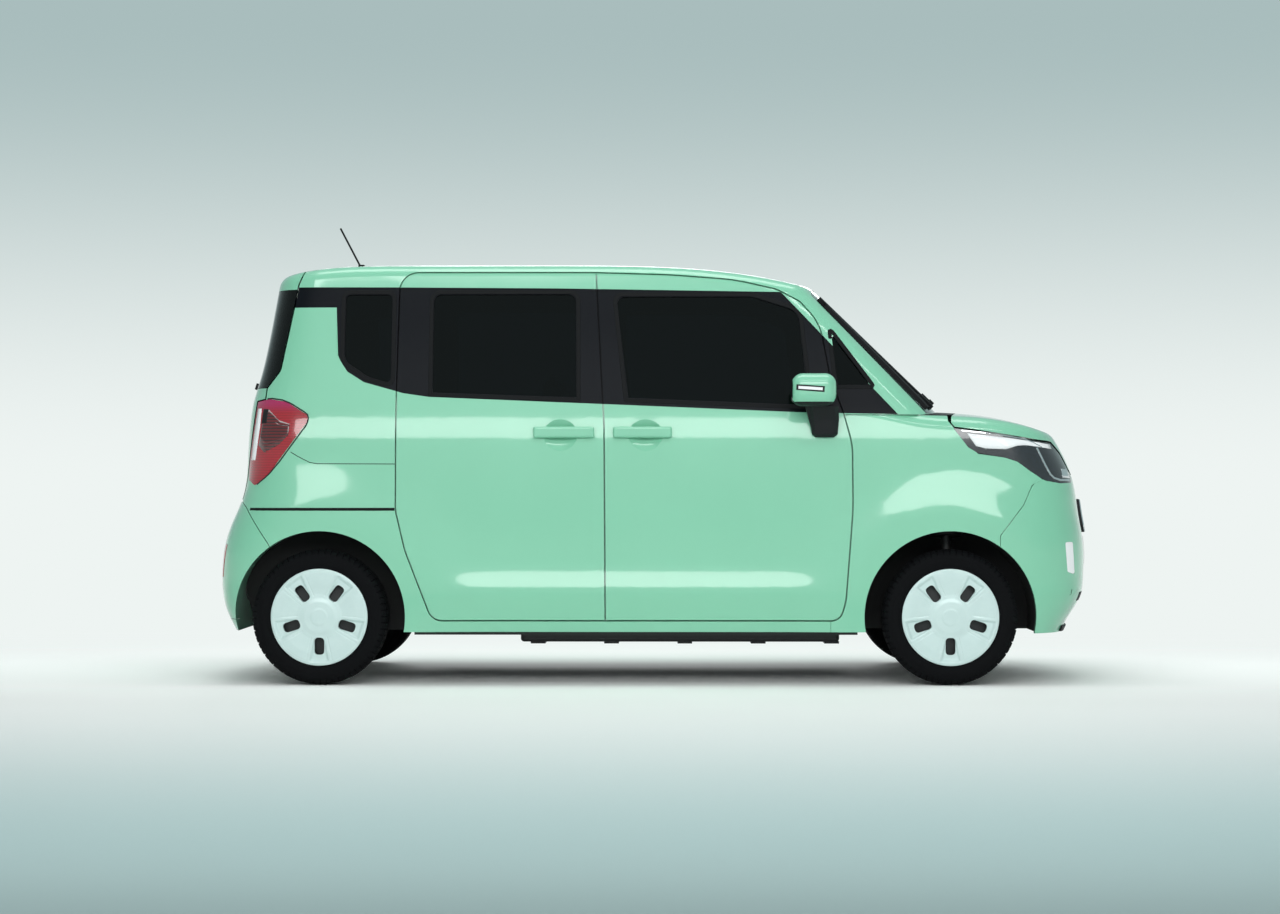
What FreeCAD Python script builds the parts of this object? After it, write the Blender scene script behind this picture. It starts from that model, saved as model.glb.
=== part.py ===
# A small box-shaped electric city car with four side doors, one of which slides, a short bonnet and an
# upright tail. The frame is the car's own: +X is forward, +Y is its left side, +Z is up, and z = 0 is the
# floor under the tyres.
# All sizes are in millimetres.
import FreeCAD, Part
import math
import os
import time

V = FreeCAD.Vector
started = time.time()

# Driving sizes of the whole car
ROOF_HEIGHT = 1716.0
FRONT_AXLE_X = 1188.0
REAR_AXLE_X = -1332.0
TRACK_HALF = 705.0
TYRE_RADIUS = 272.0
TYRE_WIDTH = 165.0
ARCH_RADIUS = 344.0
LINER_OUT = 358.0
LINER_IN = 346.0
SILL_BOTTOM = 213.0

# Depths below the painted skin. They count in full below the belt line and at UPPER_DEPTH_SHARE above it.
SCREEN_OUT_DEPTH = 4.0
GLASS_OUT_DEPTH = 12.0
GLASS_IN_DEPTH = 18.0
DOOR_LIP_DEPTH = 24.0
FLANGE_DEPTH = 34.0
LAMP_DEPTH = 60.0
DOOR_DEPTH = 75.0
WALL_DEPTH = 90.0
NOSE_LIP_DEPTH = 12.0
NOSE_PANEL_DEPTH = 25.0
UPPER_DEPTH_SHARE = 0.7

# Gaps between panels
DOOR_GAP = 6.0
FIXED_GAP = 3.0
SEAT_GAP = 0.3
DOOR_STEP = 20.0
FLANGE_STEP = 10.0

# Wheels and steering
RIM_RADIUS = 182.0
COVER_RADIUS = 193.5
KINGPIN_LOW = (640.0 + 15.0, 190.0)
KINGPIN_HIGH = (560.0, 745.0)

# Number helpers

def smooth(t):
    """0 below t = 0 and 1 above t = 1, with level ends."""
    t = max(0.0, min(1.0, t))
    return t * t * (3 - 2 * t)


def through(points):
    """A smooth function through (position, value) pairs that never overshoots them."""
    xs = [p[0] for p in points]
    ys = [p[1] for p in points]
    last = len(xs) - 1
    slope = [(ys[i + 1] - ys[i]) / (xs[i + 1] - xs[i]) for i in range(last)]
    tangent = [slope[0]]
    for before, after in zip(slope, slope[1:]):
        turns = before * after <= 0
        tangent.append(0 if turns else 2 * before * after / (before + after))
    tangent.append(slope[-1])

    def value(x):
        if x <= xs[0]:
            return ys[0] + tangent[0] * (x - xs[0])
        if x >= xs[last]:
            return ys[last] + tangent[last] * (x - xs[last])
        i = max(k for k in range(last) if xs[k] <= x)
        span = xs[i + 1] - xs[i]
        t = (x - xs[i]) / span
        start = (2 * t**3 - 3 * t**2 + 1) * ys[i] + (t**3 - 2 * t**2 + t) * span * tangent[i]
        return start + (3 * t**2 - 2 * t**3) * ys[i + 1] + (t**3 - t**2) * span * tangent[i + 1]

    return value


# The body's outer form: half width of the side, and the lines of the nose, windscreen, tail, bonnet and roof

side_width = through([
    (150, 752), (215, 770), (260, 780), (320, 790), (368, 797), (385, 796), (420, 789), (470, 780),
    (540, 776), (640, 777), (760, 781), (900, 783), (1000, 779), (1060, 770), (1130, 755), (1250, 731),
    (1400, 702), (1520, 676), (1600, 656), (1700, 628), (1800, 600),
])
FLARE_WIDTH = 795.5
FLARE_OUTER = 600.0
FLARE_INNER = 430.0


def half_width(x, z):
    """Half the body's width at a place along it and a height, with its wheel-arch flares."""
    front_taper = 0.029 * max(0.0, (x - 300) / 1000) ** 2
    rear_taper = 0.023 * max(0.0, (-x - 400) / 1000) ** 2
    width = side_width(z) * (1 - front_taper - rear_taper)
    for axle_x in (FRONT_AXLE_X, REAR_AXLE_X):
        reach = math.hypot(x - axle_x, max(0.0, z - TYRE_RADIUS))
        share = smooth((FLARE_OUTER - reach) / (FLARE_OUTER - FLARE_INNER))
        flare = FLARE_WIDTH - 170 * (max(0.0, abs(x) - abs(axle_x)) / 1000) ** 2
        width += (flare - width) * share
    return width


tail_line = through([
    (150, -1700), (256, -1762), (317, -1786), (420, -1797), (544, -1789), (630, -1767), (680, -1741),
    (735, -1708), (790, -1695), (913, -1693), (1036, -1684), (1141, -1670), (1210, -1645), (1319, -1618),
    (1453, -1592), (1622, -1562), (1800, -1530),
])
nose_line = through([
    (150, 1680), (205, 1702), (240, 1715), (300, 1758), (350, 1783), (390, 1793), (500, 1797), (570, 1797),
    (620, 1786), (690, 1772), (790, 1761), (865, 1740), (924, 1712), (980, 1680), (1050, 1635), (1200, 1530),
])
SCREEN_TOP = (672.8, 1616.6)
SCREEN_SLOPE = 0.983
COWL_Z = 1080.0


def screen_line(z):
    """The windscreen's line on the car's centre, carried on steeply below the cowl."""
    if z > COWL_Z:
        return SCREEN_TOP[0] + (SCREEN_TOP[1] - z) / SCREEN_SLOPE
    return SCREEN_TOP[0] + (SCREEN_TOP[1] - COWL_Z) / SCREEN_SLOPE + 0.25 * (COWL_Z - z)


def roof_height(x, y):
    """The roof's height, which falls towards its front, back and sides."""
    front_drop = 99.3 * (max(0.0, x + 387) / 1060) ** 3.2
    rear_drop = 54.0 * (max(0.0, -x - 1000) / 552) ** 4
    return ROOF_HEIGHT - front_drop - rear_drop - 26.0 * (y / 600) ** 2


def bonnet_height(x, y):
    """The bonnet's height, which rises behind the cowl so that the wings' tops stay full there."""
    front_drop = 75.0 * (max(0.0, x - 1150) / 450) ** 2.4
    rear_rise = 60.0 * smooth((1170 - x) / 400)
    return 1106.0 - front_drop + rear_rise - 20.0 * (y / 600) ** 2


# Surface makers

def spline_surface(poles, closed):
    """A cubic surface drawn by its poles, which may close on itself along its first direction."""
    rows, columns = len(poles), len(poles[0])
    surface = Part.BSplineSurface()
    row_mults = [1] * (rows + 1) if closed else [4] + [1] * (rows - 4) + [4]
    row_knots = list(range(rows + 1)) if closed else list(range(rows - 2))
    column_mults = [4] + [1] * (columns - 4) + [4]
    column_knots = list(range(columns - 2))
    surface.buildFromPolesMultsKnots(
        poles, row_mults, column_mults, row_knots, column_knots, closed, False, 3, 3)
    return surface


def bend(start, middle, end, count):
    """Points along a curve that leaves start towards middle and arrives at end from it."""
    out = []
    for i in range(count):
        t = i / (count - 1)
        out.append(tuple((1 - t) ** 2 * a + 2 * t * (1 - t) * b + t * t * c
                         for a, b, c in zip(start, middle, end)))
    return out


def plan_half(z, front, rear, inset, side_points):
    """Half the body's outline seen from above at one height, from its front centre to its rear centre."""
    def front_x(y):
        return front["line"](z) - front["bow"] * y * y / 1000 - inset

    def rear_x(y):
        return rear["line"](z) + rear["bow"] * y * y / 1000 + inset

    def side_y(x):
        return half_width(x, z) - inset

    front_y = rear_y = 700.0
    for _ in range(20):
        front_corner = front_x(front_y)
        front_y = side_y(front_corner)
        rear_corner = rear_x(rear_y)
        rear_y = side_y(rear_corner)
    face_points = 6
    start_y = front_y - front["round"]
    points = [(front_x(start_y * i / face_points), start_y * i / face_points) for i in range(face_points)]
    side_start = front_corner - front["round"]
    side_end = rear_corner + rear["round"]
    points += bend((front_x(start_y), start_y), (front_corner, front_y), (side_start, side_y(side_start)), 5)
    for i in range(1, side_points):
        x = side_start + (side_end - side_start) * i / side_points
        points.append((x, side_y(x)))
    end_y = rear_y - rear["round"]
    points += bend((side_end, side_y(side_end)), (rear_corner, rear_y), (rear_x(end_y), end_y), 5)
    for i in range(1, face_points + 1):
        y = end_y * (1 - i / face_points)
        points.append((rear_x(y), y))
    return points


def tube_solid(heights, front, rear, depth, side_points):
    """A closed solid whose walls follow the plan outline at each height. Depth raises its floor a little."""
    rows = []
    for z in [heights[0] + 0.2 * depth] + heights[1:]:
        half = plan_half(z, front, rear, depth * depth_share(z), side_points)
        half = [(round(x, 1), round(y, 1)) for x, y in half]
        row = [V(x, -y, z) for x, y in half] + [V(x, y, z) for x, y in reversed(half[1:-1])]
        rows.append(row)
    poles = [[row[i] for row in rows] for i in range(len(rows[0]))]
    wall = spline_surface(poles, True).toShape()
    rims = [e for e in wall.Edges if e.BoundBox.ZLength < 1e-6]
    shell = Part.makeShell([wall] + [Part.Face(Part.Wire([e])) for e in rims])
    shell.sewShape()
    return Part.Solid(shell)


def depth_share(z):
    """The share of a depth that counts at a height: walls are thinner above the belt line."""
    return 1 - (1 - UPPER_DEPTH_SHARE) * smooth((z - 980) / 170)


def sky(height, x_range, drop):
    """Everything above a roof-like surface, lowered by drop."""
    first, last = x_range
    xs = [first + (last - first) * i / SKY_ROWS for i in range(SKY_ROWS + 1)]
    ys = [-900 + 150 * i for i in range(13)]
    poles = [[V(x, y, round(height(x, y) - drop, 1)) for y in ys] for x in xs]
    return spline_surface(poles, False).toShape().extrude(V(0, 0, 1200))


BODY_HEIGHTS = [
    150, 200, 250, 300, 345, 368, 392, 430, 480, 550, 640, 760, 880, 970, 1030, 1090, 1150, 1240, 1360,
    1480, 1600, 1700, 1760, 1800,
]
DEEP_HEIGHTS = BODY_HEIGHTS[::2] + BODY_HEIGHTS[-1:]
NOSE_HEIGHTS = [
    150, 200, 250, 300, 345, 368, 392, 430, 490, 550, 610, 680, 760, 840, 920, 1000, 1060, 1120, 1190, 1260,
]
SKY_ROWS = 18
CABIN_SIDE_POINTS = 20
DEEP_SIDE_POINTS = 10
NOSE_SIDE_POINTS = 14
ROOF_ROUND = 62.0
SHOULDER_ROUND = 68.0
cabin_made = {}
nose_made = {}


def cabin(depth):
    """The cabin and tail as one solid, its whole skin sunk by a depth."""
    if depth not in cabin_made:
        front = {"line": screen_line, "bow": 0.20, "round": 90}
        rear = {"line": tail_line, "bow": 0.13, "round": 150}
        if depth < LAMP_DEPTH:
            walls = tube_solid(BODY_HEIGHTS, front, rear, depth, CABIN_SIDE_POINTS)
        else:
            walls = tube_solid(DEEP_HEIGHTS, front, rear, depth, DEEP_SIDE_POINTS)
        drop = depth * UPPER_DEPTH_SHARE * 0.6
        solid = walls.cut(sky(lambda x, y: roof_height(max(-1650, min(x, 900)), y), (-1850, 1300), drop))
        if depth < FLANGE_DEPTH:
            rim = [e for e in solid.Edges if e.BoundBox.ZMin > 1450 and e.Length > 300]
            solid = solid.makeFillet(ROOF_ROUND - depth, rim)
        cabin_made[depth] = solid
    return cabin_made[depth]


def nose(depth):
    """The front end as one solid that runs back past the front doors' leading edges."""
    if depth not in nose_made:
        front = {"line": nose_line, "bow": 0.15, "round": 190}
        rear = {"line": lambda z: 300.0, "bow": 0.0, "round": 160}
        walls = tube_solid(NOSE_HEIGHTS, front, rear, depth, NOSE_SIDE_POINTS)
        solid = walls.cut(sky(bonnet_height, (200, 1950), depth))
        if depth < NOSE_PANEL_DEPTH:
            rim = [e for e in solid.Edges if e.BoundBox.ZMin > 700 and e.Length > 1500]
            solid = solid.makeFillet(SHOULDER_ROUND - depth, rim)
        nose_made[depth] = solid
    return nose_made[depth]


# Flat outlines with rounded corners, and prisms made from them

def outline(corners, plane="xz"):
    """A closed face from (a, b) or (a, b, radius) corners in the plane named."""
    places = {"xz": lambda a, b: V(a, 0, b), "xy": lambda a, b: V(a, b, 0), "yz": lambda a, b: V(0, a, b)}
    place = places[plane]
    count = len(corners)
    points = [place(c[0], c[1]) for c in corners]
    edges = []
    ends = []
    for i, corner in enumerate(corners):
        here = points[i]
        radius = corner[2] if len(corner) > 2 else 0
        if radius <= 0:
            ends.append((here, here))
            continue
        back = (points[i - 1] - here).normalize()
        ahead = (points[(i + 1) % count] - here).normalize()
        half_angle = back.getAngle(ahead) / 2
        reach = radius / math.tan(half_angle)
        start = here + back * reach
        end = here + ahead * reach
        middle = here + (back + ahead).normalize() * (radius / math.sin(half_angle) - radius)
        ends.append((start, end))
        edges.append((i, Part.Arc(start, middle, end).toShape()))
    arcs = dict(edges)
    chain = []
    for i in range(count):
        if i in arcs:
            chain.append(arcs[i])
        leave = ends[i][1]
        arrive = ends[(i + 1) % count][0]
        if leave.distanceToPoint(arrive) > 1e-4:
            chain.append(Part.makeLine(leave, arrive))
    return Part.Face(Part.Wire(chain))


def grown(face, amount):
    """The outline moved outwards by an amount, or inwards if it is negative."""
    return face.makeOffset2D(amount)


def prism(face, direction, start, end):
    """The outline carried along one axis from start to end."""
    axis = {"x": V(1, 0, 0), "y": V(0, 1, 0), "z": V(0, 0, 1)}[direction]
    moved = face.translated(axis * start)
    return moved.extrude(axis * (end - start))


def right_side(face):
    """The outline carried through the car's right-hand side."""
    return prism(face, "y", -1200, -200)


def across(face):
    """The outline carried across the whole car."""
    return prism(face, "y", -1200, 1200)


def disc(x, z, radius):
    """A round outline seen from the side."""
    return Part.Face(Part.Wire(Part.Circle(V(x, 0, z), V(0, 1, 0), radius).toShape()))


def shell_between(form, shallow, deep):
    """The wall between two depths of the cabin or the nose, as one solid with a closed hollow."""
    outside = form(shallow).Shells[0]
    inside = form(deep).Shells[0].reversed()
    return Part.makeSolid(Part.makeCompound([outside, inside]))


def cabin_wall(shallow, deep, region):
    return shell_between(cabin, shallow, deep).common(region)


def nose_wall(shallow, deep, region):
    return shell_between(nose, shallow, deep).common(region)


halves_made = {}


def right_wall(form, inner_edge, shallow, deep, region):
    """A piece of wall on the right-hand side, cut from a half that is made once for each pair of depths."""
    key = (form, shallow, deep)
    if key not in halves_made:
        right_half = block(-2000, 2000, -1200, inner_edge, 100, 2000)
        halves_made[key] = shell_between(form, shallow, deep).common(right_half)
    return halves_made[key].common(region)


def cabin_side(shallow, deep, region):
    return right_wall(cabin, -200, shallow, deep, region)


def nose_side(shallow, deep, region):
    return right_wall(nose, -550, shallow, deep, region)


def block(x0, x1, y0, y1, z0, z1):
    return Part.makeBox(x1 - x0, y1 - y0, z1 - z0, V(x0, y0, z0))


def side_block(k, x0, x1, inner, outer, z0, z1):
    """A block between two distances from the car's middle plane, on its left (k = 1) or right (k = -1)."""
    return block(x0, x1, min(inner * k, outer * k), max(inner * k, outer * k), z0, z1)


def soft_block(x0, x1, y0, y1, z0, z1, radius):
    solid = block(x0, x1, y0, y1, z0, z1)
    return solid.makeFillet(radius, solid.Edges)


def rod(start, end, radius):
    """A round bar between two points."""
    start, end = V(*start), V(*end)
    return Part.makeCylinder(radius, (end - start).Length, start, end - start)


def mirrored(shape):
    """The same piece on the car's left-hand side."""
    return shape.mirror(V(0, 0, 0), V(0, 1, 0))


def fused(pieces):
    whole = pieces[0]
    for piece in pieces[1:]:
        whole = whole.fuse(piece)
    return whole


def cut_by(shape, *cutters):
    for cutter in cutters:
        shape = shape.cut(cutter)
    return shape


def export(node, *shapes):
    """Writes one node. Only closed solids with volume are kept."""
    solids = [s for shape in shapes for s in shape.Solids if s.Volume > 500]
    whole = solids[0] if len(solids) == 1 else Part.makeCompound(solids)
    whole.exportStep(f"parts/{node}.step")
    box = whole.BoundBox
    reach = " ".join(f"{side:6.0f}" for side in (box.XMin, box.XMax, box.YMin, box.YMax, box.ZMin, box.ZMax))
    print(f"{node:22s} solids {len(solids):2d} litres {whole.Volume / 1e6:7.2f} reach {reach}"
          f" {time.time() - started:6.1f} s", flush=True)


# Panel outlines seen from the side

FRONT_DOOR = outline([
    (-194, 1035), (-229, 1659), (63, 1650, 800), (330, 1630, 800), (500, 1590, 120), (594, 1540, 60),
    (672, 1450, 200), (712, 1228, 400), (765, 1083, 60), (798, 960, 300), (800, 700, 900), (771, 340, 200),
    (748, 258, 50), (-189, 258),
])
REAR_DOOR = outline([
    (-229, 1659), (-194, 1035), (-189, 258), (-880, 258, 60), (-990, 540, 300), (-1028, 700, 150),
    (-1028, 1180, 2000), (-1021, 1660, 75),
])
PILLAR_ZONE = outline([(-262, 200), (-262, 1800), (-128, 1800), (-128, 200)])
TAILGATE = outline([
    (-1400, 1850), (-1400, 1700), (-1436, 1610, 60), (-1451, 1515), (-1500, 1260, 60), (-1556, 1190),
    (-1560, 1145), (-1598, 1138), (-1640, 830), (-1664, 738), (-1950, 738), (-1950, 1850),
])
REAR_BUMPER = outline([
    (-1950, 732), (-1660, 732), (-1637, 710), (-1536, 561), (-1480, 400), (-1480, 262), (-1950, 262),
])
BODY_SIDE = outline([
    (-1950, 213), (-1950, 1850), (1300, 1850), (1300, 1082), (790, 1082), (708, 900), (708, 213),
])
DOOR_POST = outline([(700, 213), (880, 213), (880, 1090), (700, 1090)])
POST_COVER = outline([(709.5, 190), (900, 190), (900, 1082), (709.5, 1082)])
FENDER = outline([
    (700, 1079), (1182, 1079), (1182, 1056), (1203, 1030), (1205, 1028), (1240, 985), (1300, 925),
    (1440, 905), (1530, 845), (1560, 822), (1518, 798), (1482, 720), (1386, 598), (1386, 213),
    (711, 213), (711, 900), (700, 1000),
])
BONNET = outline([
    (1100, 1300), (1188, 1059), (1207, 1034), (1310, 1020), (1534, 984), (1607, 976, 10), (1651, 931),
    (1688, 866), (1706, 841), (1950, 841), (1950, 1300),
])
BONNET_REAR_X = 1186.0
BONNET_REAR_BOW = 80.0
HEADLAMP = outline([
    (1203, 1027), (1310, 1013), (1534, 977), (1602, 969, 10), (1645, 925), (1681, 863), (1699, 834),
    (1699, 809, 8), (1640, 807, 30), (1570, 818, 60), (1510, 856, 60), (1460, 893, 60), (1400, 912, 80),
    (1300, 928, 40), (1262, 950, 20),
])
FRONT_BUMPER = outline([
    (1386, 207), (1386, 598), (1482, 720), (1518, 798), (1560, 822), (1600, 860), (1681, 860),
    (1701, 835), (1950, 835), (1950, 207),
])
WING_JOINT = outline([
    (1376, 200), (1376, 604), (1472, 726), (1500, 815), (1530, 815), (1496, 716), (1396, 594), (1396, 200),
])
CORNER_LAMP = outline([(1655, 571, 8), (1690, 571, 8), (1698, 440, 8), (1664, 452, 8)])
TAIL_LAMP = outline([
    (-1600, 1134, 12), (-1540, 1146, 40), (-1470, 1134, 60), (-1380, 1078, 14), (-1388, 1048, 14),
    (-1540, 842, 60), (-1600, 797, 14), (-1632, 822, 14), (-1632, 880, 200), (-1614, 1060, 200),
])
BAND = outline([
    (-1450, 1601), (-1017, 1599), (-373, 1594), (517, 1579), (982, 1083), (586, 1091), (-198, 1124),
    (-373, 1131), (-897, 1153), (-1027, 1174, 120), (-1215, 1235, 110), (-1275, 1330, 60), (-1275, 1517),
    (-1500, 1517),
])
FRONT_WINDOW = outline([
    (-146, 1560, 30), (400, 1560, 90), (585, 1500, 60), (612, 1250, 300), (624, 1120), (-98, 1149),
])
REAR_WINDOW = outline([(-883, 1570, 30), (-310, 1570, 30), (-306, 1151), (-883, 1171)])
QUARTER_WINDOW = outline([
    (-1240, 1570, 20), (-1052, 1570, 20), (-1052, 1205, 20), (-1150, 1238, 60), (-1240, 1300, 50),
])
FRONT_QUARTER = outline([(716, 1420, 8), (872, 1200, 8), (742, 1200, 8)])
WINDSCREEN = outline([(640, 1572), (655, 1604), (800, 1604), (1400, 1350), (1400, 1088), (1098, 1088)])
ROOF_EDGE_Y = 598.0
DOOR_TOP_Y = 560.0
LEAF_TOP_Z = 1667.0
GLASS_TOP_Z = 1590.0
GLASS_BOTTOM_Z = 1192.0

os.makedirs("parts", exist_ok=True)

# Outlines that several pieces share

front_arch = disc(FRONT_AXLE_X, TYRE_RADIUS, ARCH_RADIUS)
front_well = disc(FRONT_AXLE_X, TYRE_RADIUS, LINER_OUT)
rear_well = disc(REAR_AXLE_X, TYRE_RADIUS, LINER_OUT)
rear_arch = disc(REAR_AXLE_X, TYRE_RADIUS, ARCH_RADIUS)
outside_depth = -10.0
band_recess = cabin_side(outside_depth, SCREEN_OUT_DEPTH, right_side(BAND))


# Doors: an outer skin with a lip, and an inner box that is stepped in all round, as pressed doors have

def stepped_door(face, opening, step_zone, carry, wall):
    """A door or lid as thick as the wall, whose inner part is stepped in all round its edge."""
    whole = wall(0, DOOR_DEPTH, carry(grown(face, -DOOR_GAP / 2).cut(opening)))
    inner = grown(face, -DOOR_STEP).cut(step_zone)
    rim = grown(face, DOOR_GAP).cut(inner)
    return whole.cut(wall(DOOR_LIP_DEPTH, DOOR_DEPTH - outside_depth, carry(rim)))


def handle(x0, x1, z, bowl_x):
    """A pull bar and the round finger bowl behind it."""
    skin_y = half_width((x0 + x1) / 2, z)
    bar = soft_block(x0, x1, -skin_y - 26, -skin_y + 4, z - 22, z + 22, 9)
    bar = bar.cut(block(bowl_x - 62, bowl_x + 62, -skin_y - 9, -skin_y + 30, z - 30, z + 30))
    reach = 146.0
    bowl = Part.makeSphere(reach, V(bowl_x, -half_width(bowl_x, z) - reach + 18, z + 2))
    return bar, bowl


def side_door(face, window, pull):
    solid = stepped_door(face, window, grown(PILLAR_ZONE, FLANGE_STEP), right_side, cabin_side)
    bar, bowl = pull
    return cut_by(solid, band_recess, bowl).fuse(bar)


front_door = side_door(FRONT_DOOR, FRONT_WINDOW, handle(-158, 77, 1011, -28))
rear_door = side_door(REAR_DOOR, REAR_WINDOW, handle(-477, -233, 1011, -369))
export("door_front_right", front_door)
export("door_front_left", mirrored(front_door))
export("door_rear_left", mirrored(rear_door))
export("sliding_door", rear_door)


def window(face):
    return cabin_side(GLASS_OUT_DEPTH, GLASS_IN_DEPTH, right_side(grown(face, -SEAT_GAP)))


front_glass = window(FRONT_WINDOW)
rear_glass = window(REAR_WINDOW)
quarter_glass = window(QUARTER_WINDOW)
corner_glass = window(FRONT_QUARTER)
export("glass_front_right", front_glass)
export("glass_front_left", mirrored(front_glass))
export("glass_rear_left", mirrored(rear_glass))
export("fixed_windows", rear_glass, quarter_glass, mirrored(quarter_glass),
       corner_glass, mirrored(corner_glass))

# Body sides: the full wall, whose outer part stops short of the doors and bumper while its inner part
# reaches behind their edges as a flange

through = [grown(FRONT_DOOR, -FLANGE_STEP).cut(PILLAR_ZONE), grown(REAR_DOOR, -FLANGE_STEP).cut(PILLAR_ZONE),
           grown(TAILGATE, -FLANGE_STEP), QUARTER_WINDOW, FRONT_QUARTER, WINDSCREEN, front_well, rear_arch,
           grown(TAIL_LAMP, SEAT_GAP)]
side_face = cut_by(BODY_SIDE.fuse(DOOR_POST), *through)
roof_cut = block(-1500, 900, -ROOF_EDGE_Y, ROOF_EDGE_Y, 1500, 1900)
side = cabin_side(0, WALL_DEPTH, right_side(side_face).cut(roof_cut))
hidden = [grown(FRONT_DOOR, DOOR_GAP / 2), grown(REAR_DOOR, DOOR_GAP / 2), grown(TAILGATE, DOOR_GAP / 2),
          grown(REAR_BUMPER, FIXED_GAP), POST_COVER]
shallow_face = fused(hidden)
side = side.cut(cabin_side(outside_depth, FLANGE_DEPTH, right_side(shallow_face)))
side = side.cut(band_recess)


def hinge_leaf(face, z):
    """A block on a door post that reaches the front face of a closed door's inner box."""
    strip = grown(face, -FLANGE_STEP + 4).cut(grown(face, -DOOR_STEP + SEAT_GAP))
    return right_side(strip).common(block(600, 830, -735, -705, z, z + 80))


rear_leaves = [block(-262 - FLANGE_STEP + SEAT_GAP, -258, -735, -705, z, z + 80) for z in (420, 800)]
side = fused([side, hinge_leaf(FRONT_DOOR, 420), hinge_leaf(FRONT_DOOR, 800)] + rear_leaves)
export("body_side_right", side)
export("body_side_left", mirrored(side))

roof_plan = block(-1500, 900, -ROOF_EDGE_Y + FIXED_GAP, ROOF_EDGE_Y - FIXED_GAP, 1520, 1900)
roof = cabin_wall(0, WALL_DEPTH, cut_by(roof_plan, across(WINDSCREEN), across(grown(TAILGATE, DOOR_GAP / 2))))
for face in (FRONT_DOOR, REAR_DOOR):
    over_door = prism(grown(face, DOOR_GAP), "y", -700, -DOOR_TOP_Y)
    roof = cut_by(roof, over_door, mirrored(over_door))
tailgate_leaves = [block(-1400 - DOOR_STEP + SEAT_GAP, -1392, y, y + 60, LEAF_TOP_Z - 16, LEAF_TOP_Z)
                   for y in (-430, 370)]
roof = fused([roof] + tailgate_leaves)
export("roof_panel", roof)

screen = cabin_wall(SCREEN_OUT_DEPTH, GLASS_OUT_DEPTH, across(grown(WINDSCREEN, -SEAT_GAP)))
export("windscreen", screen)

# Tailgate with its glass, the lamps beside it and the bumper below it

def glass_zone(gap):
    lid = across(grown(TAILGATE, -DOOR_GAP / 2 - gap))
    return lid.common(block(-2000, -1300, -900, 900, GLASS_BOTTOM_Z + gap, GLASS_TOP_Z - gap))


tail_glass = cabin_wall(0, SCREEN_OUT_DEPTH, glass_zone(SEAT_GAP))
tail_opening = outline([(-545, 1240, 60), (-545, 1550, 60), (545, 1550, 60), (545, 1240, 60)], "yz")
no_zone = disc(0, 0, 1)
tailgate = stepped_door(TAILGATE, no_zone, no_zone, across, cabin_wall)
border_zone = block(-2000, -1300, -900, 900, GLASS_BOTTOM_Z, GLASS_TOP_Z)
tailgate = cut_by(tailgate, prism(tail_opening, "x", -1950, -1300),
                  cabin_wall(outside_depth, SCREEN_OUT_DEPTH, border_zone))
export("tailgate", tailgate)
export("tailgate_glass", tail_glass)
lamp_face = TAIL_LAMP.cut(grown(TAILGATE, DOOR_GAP / 2))
tail_lamp = cabin_side(0, LAMP_DEPTH, prism(lamp_face, "y", -1200, -400))
export("tail_lamps", tail_lamp, mirrored(tail_lamp))
rear_bumper = cabin_wall(0, FLANGE_DEPTH, across(REAR_BUMPER.cut(rear_arch)))
export("rear_bumper", rear_bumper)
rear_zone = block(-1900, -1500, -200 + SEAT_GAP, 200 - SEAT_GAP, 262, 728)
rear_panel = cabin_wall(FLANGE_DEPTH, WALL_DEPTH, rear_zone)
export("rear_panel", rear_panel)

# Front end: wings, bonnet, bumper and lamps on the nose's own form

def seamed(face, holes, carry, wall):
    """A fixed front panel whose outer half stops short of its neighbours, so that a seam shows."""
    whole = wall(0, NOSE_PANEL_DEPTH, carry(cut_by(grown(face, -SEAT_GAP / 2), *holes)))
    seam = face.cut(grown(face, -FIXED_GAP / 2)).common(WING_JOINT)
    return whole.cut(wall(outside_depth, NOSE_LIP_DEPTH, carry(seam)))


lamp_seat = grown(HEADLAMP, SEAT_GAP)
fender = seamed(FENDER, [grown(FRONT_DOOR, DOOR_GAP / 2), front_arch, lamp_seat],
                lambda face: prism(face, "y", -1200, -600), nose_side)
export("fenders", fender, mirrored(fender))

bow = BONNET_REAR_BOW
plan = outline([(BONNET_REAR_X, -800), (BONNET_REAR_X + bow * 0.75, -400, 900),
                (BONNET_REAR_X + bow, 0, 2000), (BONNET_REAR_X + bow * 0.75, 400, 900),
                (BONNET_REAR_X, 800), (1950, 800), (1950, -800)], "xy")
bonnet = nose_wall(0, NOSE_PANEL_DEPTH, across(BONNET).common(prism(plan, "z", 700, 1400)))
export("bonnet", bonnet)

headlamp = nose_side(0, LAMP_DEPTH, prism(HEADLAMP, "y", -1200, -560))
export("headlamps", headlamp, mirrored(headlamp))

GRILLE = outline([(-400, 606, 30), (-380, 742, 30), (380, 742, 30), (400, 606, 30)], "yz")
INTAKE = outline([(-440, 330, 25), (-400, 450, 25), (400, 450, 25), (440, 330, 25)], "yz")
bumper = seamed(FRONT_BUMPER, [front_arch], across, nose_wall)
lamp_prism = prism(lamp_seat, "y", -1200, -555)
bumper = cut_by(bumper, lamp_prism, mirrored(lamp_prism), across(grown(CORNER_LAMP, SEAT_GAP)),
                prism(grown(GRILLE, SEAT_GAP), "x", 1500, 1900), prism(INTAKE, "x", 1500, 1900))
export("front_bumper", bumper)
grille = nose_wall(-12, NOSE_PANEL_DEPTH, prism(GRILLE, "x", 1500, 1900))
intake = nose_wall(NOSE_LIP_DEPTH, NOSE_PANEL_DEPTH, prism(grown(INTAKE, -SEAT_GAP), "x", 1500, 1900))
export("grille_panel", grille, intake)
corner_lamp = nose_side(0, NOSE_PANEL_DEPTH, prism(CORNER_LAMP, "y", -1200, -560))
export("corner_lamps", corner_lamp, mirrored(corner_lamp))

# Bonnet's neighbours under the windscreen: the cowl between the two, and the wipers

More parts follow.
